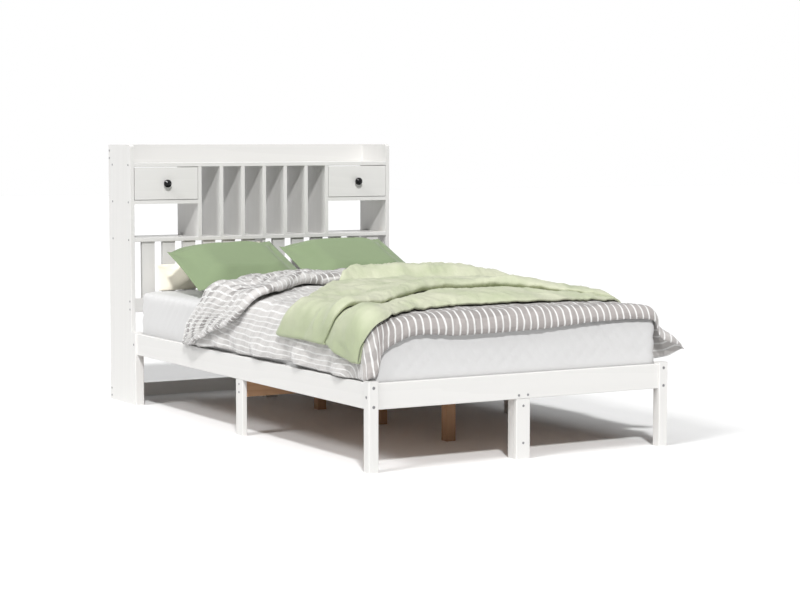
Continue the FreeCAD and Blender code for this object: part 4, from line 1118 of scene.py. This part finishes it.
class BED_OT_timber(bpy.types.Operator):
    """Finish every board of the frame, bookcase and drawers, with the grain along it"""

    bl_idname = "bed.timber"
    bl_label = "Timber"

    def execute(self, context):
        settings = settings_of(context, "bed_timber")
        slots = {s["node"]: s["material_slot"] for s in frame["record"]["subparts"]}
        makers = {"white_pine": lacquered_pine, "natural_pine": plain_pine}
        made = {}
        for name, node in NODES.items():
            maker = makers.get(slots.get(name))
            if maker is None:
                continue
            low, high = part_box(name)
            sides = [b - a for a, b in zip(low, high)]
            along = GROUP_GRAIN.get(name) or "xyz"[sides.index(max(sides))]
            key = (slots[name], along)
            if key not in made:
                made[key] = maker(along, settings)
            paint(node, made[key])
        return {"FINISHED"}


class BED_OT_fittings(bpy.types.Operator):
    """Finish the bolts, barrel nuts and knobs, and set the wood screws' heads in place"""

    bl_idname = "bed.fittings"
    bl_label = "Fittings"

    def execute(self, context):
        settings = settings_of(context, "bed_timber")
        zinc, black = zinc_plate(), gloss_black()
        for name in ("frame_bolts", "barrel_nuts"):
            paint(NODES[name], zinc)
        for name in ("drawer_left_knob", "drawer_right_knob"):
            paint(NODES[name], black)
        places = screw_places()
        mesh = bpy.data.meshes.new("wood_screw_heads")
        mesh.from_pydata([spot for spot, _ in places], [], [])
        facing = mesh.attributes.new("facing", "FLOAT_VECTOR", "POINT")
        facing.data.foreach_set("vector", np.array([way for _, way in places], float).ravel())
        piece = bpy.data.objects.new("wood_screw_heads", mesh)
        context.scene.collection.objects.link(piece)
        modifier = piece.modifiers.new("heads", "NODES")
        modifier.node_group = screw_heads_tree()
        socket_value(modifier, "Radius", settings.screw_radius)
        socket_value(modifier, "Rise", SCREW_RISE)
        socket_value(modifier, "Socket", settings.screw_radius * SCREW_SOCKET)
        socket_value(modifier, "Finish", zinc)
        settle(made_real(piece))
        return {"FINISHED"}


class BED_OT_mattress(bpy.types.Operator):
    """Make the quilted mattress"""

    bl_idname = "bed.mattress"
    bl_label = "Mattress"

    def execute(self, context):
        settings = settings_of(context, "bed_mattress")
        material = plain_cloth("mattress_ticking", settings.colour, "Object", 60.0, 0.02)
        piece = settle(build_mattress(settings, Cover(), material))
        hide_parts("mattress")
        return {"FINISHED"}


class BED_OT_duvet(bpy.types.Operator):
    """Make the lined duvet, turned back at the head"""

    bl_idname = "bed.duvet"
    bl_label = "Duvet"

    def execute(self, context):
        settings = settings_of(context, "bed_duvet")
        piece = build_duvet(settings, Cover(), lined_cotton(settings))
        settle(piece)
        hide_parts("duvet")
        return {"FINISHED"}


class BED_OT_throw(bpy.types.Operator):
    """Lay the green throw across the duvet"""

    bl_idname = "bed.throw"
    bl_label = "Throw"

    def execute(self, context):
        settings = settings_of(context, "bed_throw")
        # Painted sheen: the throw's paler colour, mixed in over its top.
        colour, faded = settings.colour, Vector(settings.faded)
        material = plain_cloth("green_throw", colour, "UV", 60.0, 0.06, 0.004, faded)
        duvet = settings_of(context, "bed_duvet")
        piece = settle(build_throw(settings, duvet, Cover(), material))
        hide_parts("throw")
        return {"FINISHED"}


class BED_OT_pillows(bpy.types.Operator):
    """Sew and fill the three pillows and lean them against the headboard"""

    bl_idname = "bed.pillows"
    bl_label = "Pillows"

    def execute(self, context):
        settings = settings_of(context, "bed_pillows")
        cloths = {
            "sage_cotton": plain_cloth("sage_cotton", settings.green, "UV", 90.0, 0.06),
            "cream_cotton": plain_cloth("cream_cotton", settings.cream, "UV", 90.0, 0.04),
        }
        # Node, size, lean and turn in degrees, droop in metres, slump as a share, cloth.
        for node, size, lean, turn, droop, slump, slot in (
            ("pillow_back", (0.49, 0.19, 0.09), 8, 0, 0.0, 0.42, "cream_cotton"),
            ("pillow_left", (0.50, 0.40, 0.13), 64, 2, 0.050, 0.0, "sage_cotton"),
            ("pillow_right", (0.50, 0.43, 0.13), 66, -2, 0.040, 0.0, "sage_cotton"),
        ):
            wide, deep = size[0] * PILLOW_SEWN, size[1] * PILLOW_SEWN
            spots, faces = pillow_blank(wide, deep)
            uv = [(x + 0.3, y + 0.3) for x, y, _ in spots]
            piece = new_piece(f"{node}_cover", spots, faces, cloths[slot], uv)
            fill(piece, settings)
            lay_pillow(piece, node, size, math.radians(lean), math.radians(turn), droop, slump)
            face_outwards(piece)
            settle(piece)
            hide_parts(node)
        return {"FINISHED"}


class BED_OT_studio(bpy.types.Operator):
    """Set up the floor, the light and the camera"""

    bl_idname = "bed.studio"
    bl_label = "Studio"

    def execute(self, context):
        settings = settings_of(context, "bed_studio")
        scene = context.scene
        scene.view_settings.view_transform = "Standard"
        material, finish = new_material("studio_floor")
        cloud = finish.noise(finish.place(), 2.0, 2.0)
        finish.principled(
            Base_Color=finish.mix(cloud, (0.85, 0.85, 0.85), (0.87, 0.87, 0.87)),
            Roughness=0.9,
        )
        bpy.ops.mesh.primitive_plane_add(size=FLOOR_SIZE)
        floor = context.object
        floor.name = "studio_floor"
        floor.data.materials.append(material)

        world = scene.world or bpy.data.worlds.new("studio_sky")
        scene.world = world
        world.use_nodes = True
        sky = Finish(world.node_tree)
        rays = sky.node("ShaderNodeLightPath")
        seen = sum(rays.part(f"Is {kind} Ray") for kind in ("Camera", "Glossy", "Transmission"))
        dim, white = (
            sky.node("ShaderNodeBackground", None, {"Color": (1, 1, 1, 1), "Strength": strength})
            for strength in (settings.sky, 1.0)
        )
        both = sky.node("ShaderNodeMixShader", None, {0: seen.clamped(), 1: dim, 2: white})
        sky.node("ShaderNodeOutputWorld", None, {"Surface": both})

        # Name, strength, and in degrees: width of the sun, its rise, its turn from the bed's Y.
        for name, strength, spread, rise, turn in (
            ("key_light", settings.key, 5, 40.6, -24),
            ("overhead_light", settings.overhead, 50, 75, -45),
            ("side_light", settings.side, 16, 42, -76),
        ):
            lamp = bpy.data.lights.new(name, "SUN")
            lamp.energy = strength
            lamp.angle = math.radians(spread)
            light = bpy.data.objects.new(name, lamp)
            light.rotation_euler = (math.radians(90 - rise), 0, math.radians(turn))
            scene.collection.objects.link(light)

        camera = bpy.data.cameras.new("camera")
        camera.lens = settings.lens
        camera.sensor_width = SENSOR_WIDTH
        camera.clip_end = 100.0
        viewer = bpy.data.objects.new("camera", camera)
        viewer.location = Vector(settings.from_foot) + Vector((0, FOOT_Y, 0))
        viewer.rotation_euler = (math.pi / 2 - settings.pitch, 0, -settings.heading)
        scene.collection.objects.link(viewer)
        scene.camera = viewer
        return {"FINISHED"}


STEPS = (
    BED_OT_timber,
    BED_OT_fittings,
    BED_OT_mattress,
    BED_OT_duvet,
    BED_OT_throw,
    BED_OT_pillows,
    BED_OT_studio,
)


class BED_PT_panel(bpy.types.Panel):
    """Every step of the bed, in order"""

    bl_idname = "BED_PT_panel"
    bl_label = "Bookcase Headboard Bed"
    bl_space_type = "VIEW_3D"
    bl_region_type = "UI"
    bl_category = "Bed"

    def draw(self, context):
        for step in STEPS:
            self.layout.operator(step.bl_idname)
        for name in GROUPS:
            box = self.layout.box()
            group = settings_of(context, name)
            for key in group.bl_rna.properties.keys():
                if key not in ("rna_type", "name"):
                    box.prop(group, key)


def register():
    for name, group in GROUPS.items():
        bpy.utils.register_class(group)
        setattr(bpy.types.Scene, name, PointerProperty(type=group))
    for step in STEPS:
        bpy.utils.register_class(step)
    bpy.utils.register_class(BED_PT_panel)


def unregister():
    bpy.utils.unregister_class(BED_PT_panel)
    for step in reversed(STEPS):
        bpy.utils.unregister_class(step)
    for name, group in GROUPS.items():
        delattr(bpy.types.Scene, name)
        bpy.utils.unregister_class(group)


def main():
    register()
    for step in STEPS:
        group, name = step.bl_idname.split(".")
        getattr(getattr(bpy.ops, group), name)()


if __name__ == "__main__":
    main()
